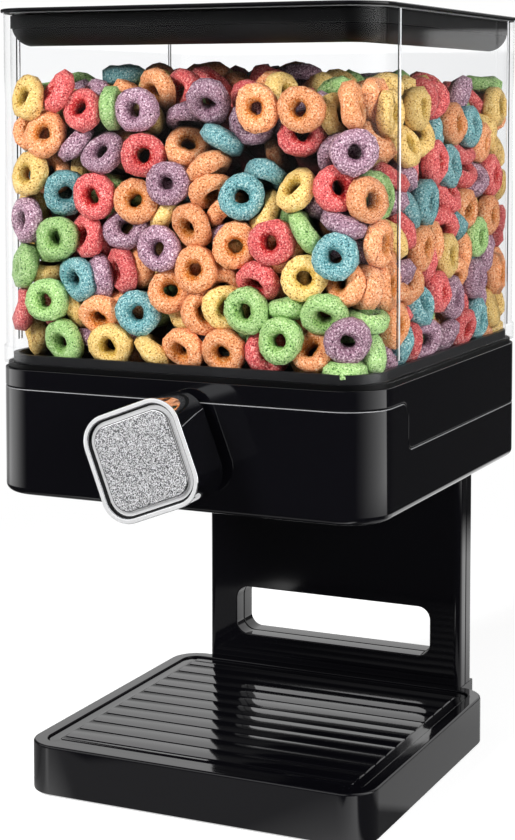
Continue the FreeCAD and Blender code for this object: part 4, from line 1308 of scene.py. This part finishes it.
    def build_floor(self) -> None:
        """Build a pale floor that keeps the object's shadow and turns white further out."""
        mesh = bmesh.new()
        bmesh.ops.create_grid(mesh, x_segments=1, y_segments=1, size=self.floor_size)
        material = bpy.data.materials.new("pale_floor")
        nodes = Nodes(material)
        place = nodes.add("ShaderNodeTexCoord").outputs["Object"]
        length = nodes.add("ShaderNodeVectorMath", {0: place}, operation="LENGTH").outputs["Value"]
        matt = nodes.add("ShaderNodeBsdfDiffuse", {"Color": (*(self.floor_colour,) * 3, 1.0)})
        shine = nodes.add("ShaderNodeEmission", {"Strength": self.floor_glow(nodes, length)})
        for_gloss = nodes.mix(
            self.rays(nodes, "Is Glossy Ray"), matt.outputs["BSDF"], shine.outputs["Emission"])
        seen_rays = self.rays(nodes, "Is Camera Ray", "Is Transmission Ray")
        lifted = nodes.math("MULTIPLY", seen_rays, self.floor_lift)
        lift = nodes.add("ShaderNodeEmission", {"Strength": lifted})
        both = nodes.add("ShaderNodeAddShader", {0: for_gloss, 1: lift.outputs["Emission"]})
        white = nodes.add("ShaderNodeEmission")
        far = nodes.math("MULTIPLY", nodes.faded(length, self.white_floor), seen_rays)
        nodes.show(nodes.mix(far, both.outputs["Shader"], white.outputs["Emission"]))
        floor = new_piece("floor", mesh, material)

    def build_camera(self) -> None:
        """Stand the camera where the photograph was taken from."""
        data = bpy.data.cameras.new("camera")
        data.lens = self.lens
        data.sensor_width = self.sensor
        data.shift_y = self.shift
        camera = bpy.data.objects.new("camera", data)
        camera.location = self.camera_place
        camera.rotation_euler = (
            math.radians(90 - self.camera_pitch), 0.0, math.radians(self.camera_yaw))
        bpy.context.scene.collection.objects.link(camera)
        bpy.context.scene.camera = camera

    def build(self) -> None:
        """Set up the whole studio."""
        bpy.context.scene.view_settings.view_transform = "Standard"
        self.build_world()
        self.build_floor()
        for lamp in LAMPS:
            lamp.build()
        self.build_camera()


EASED_NODES = (
    EasedNode("base_shell", Body.STAND, Slot.GLOSS_BLACK, ease=0.4 * MM),
    EasedNode("stand_front_panel", Body.STAND, Slot.GLOSS_BLACK, ease=0.5 * MM),
    EasedNode("stand_rear_panel", Body.STAND, Slot.GLOSS_BLACK, ease=0.5 * MM),
    # The seam edge takes a painted highlight.
    EasedNode("lower_housing", Body.STAND, Slot.GLOSS_BLACK, zones=(Zone.SEAM_EDGE,)),
    EasedNode("upper_housing", Body.STAND, Slot.GLOSS_BLACK, ease=0.3 * MM, segments=3),
    # The front rim takes a painted highlight, and the rim's inner wall takes painted shade and dark
    # reflection.
    EasedNode("knob_cap", Body.WHEEL, Slot.CHROME, ease=0.45 * MM, cove=1.25 * MM, segments=5,
              least=20 * MM, zones=(Zone.FRONT_RIM, Zone.RIM_INSIDE)),
    EasedNode("knob_insert", Body.WHEEL, Slot.TEXTURED_SILVER, ease=1.1 * MM, segments=4,
              least=20 * MM, front_edges=True, zones=(Zone.FRONT_EDGE,)),
    EasedNode("knob_hub", Body.WHEEL, Slot.GLOSS_BLACK, ease=0.3 * MM, least=20 * MM),
    # The top eased edge takes a painted highlight.
    EasedNode("canister", Body.CANISTER, Slot.CLEAR, zones=(Zone.TOP_EDGE,)),
    EasedNode("lid_body", Body.LID, Slot.GLOSS_BLACK, ease=0.45 * MM, segments=3,
              zones=(Zone.UNDERSIDE, Zone.LOWER_EDGE)),
)


def main() -> None:
    """Dress every node, build the new pieces and set up the studio."""
    logging.basicConfig(level=logging.INFO, format="%(name)s %(message)s")
    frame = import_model()
    materials = {slot: finish.material() for slot, finish in FINISHES.items()}
    slots = {entry["node"]: entry["material_slot"] for entry in frame["record"]["subparts"]}
    for name, node in frame["nodes"].items():
        node.data.materials[0] = materials[Slot(slots[name])]
    seconds = {zone: finish.material() for zone, finish in SECOND_FINISHES_AND_PAINTED_LIGHT.items()}
    pieces = [eased.build(frame, materials, seconds) for eased in EASED_NODES]
    pieces += [lines.build() for lines in CORNER_LINES]
    pieces.append(RibbedTray().build(materials))
    pieces += SugarRings().build()
    Studio().build()
    for piece in pieces:
        LOG.info("%s: %d faces", piece.name, len(piece.data.polygons))


if __name__ == "__main__":
    main()
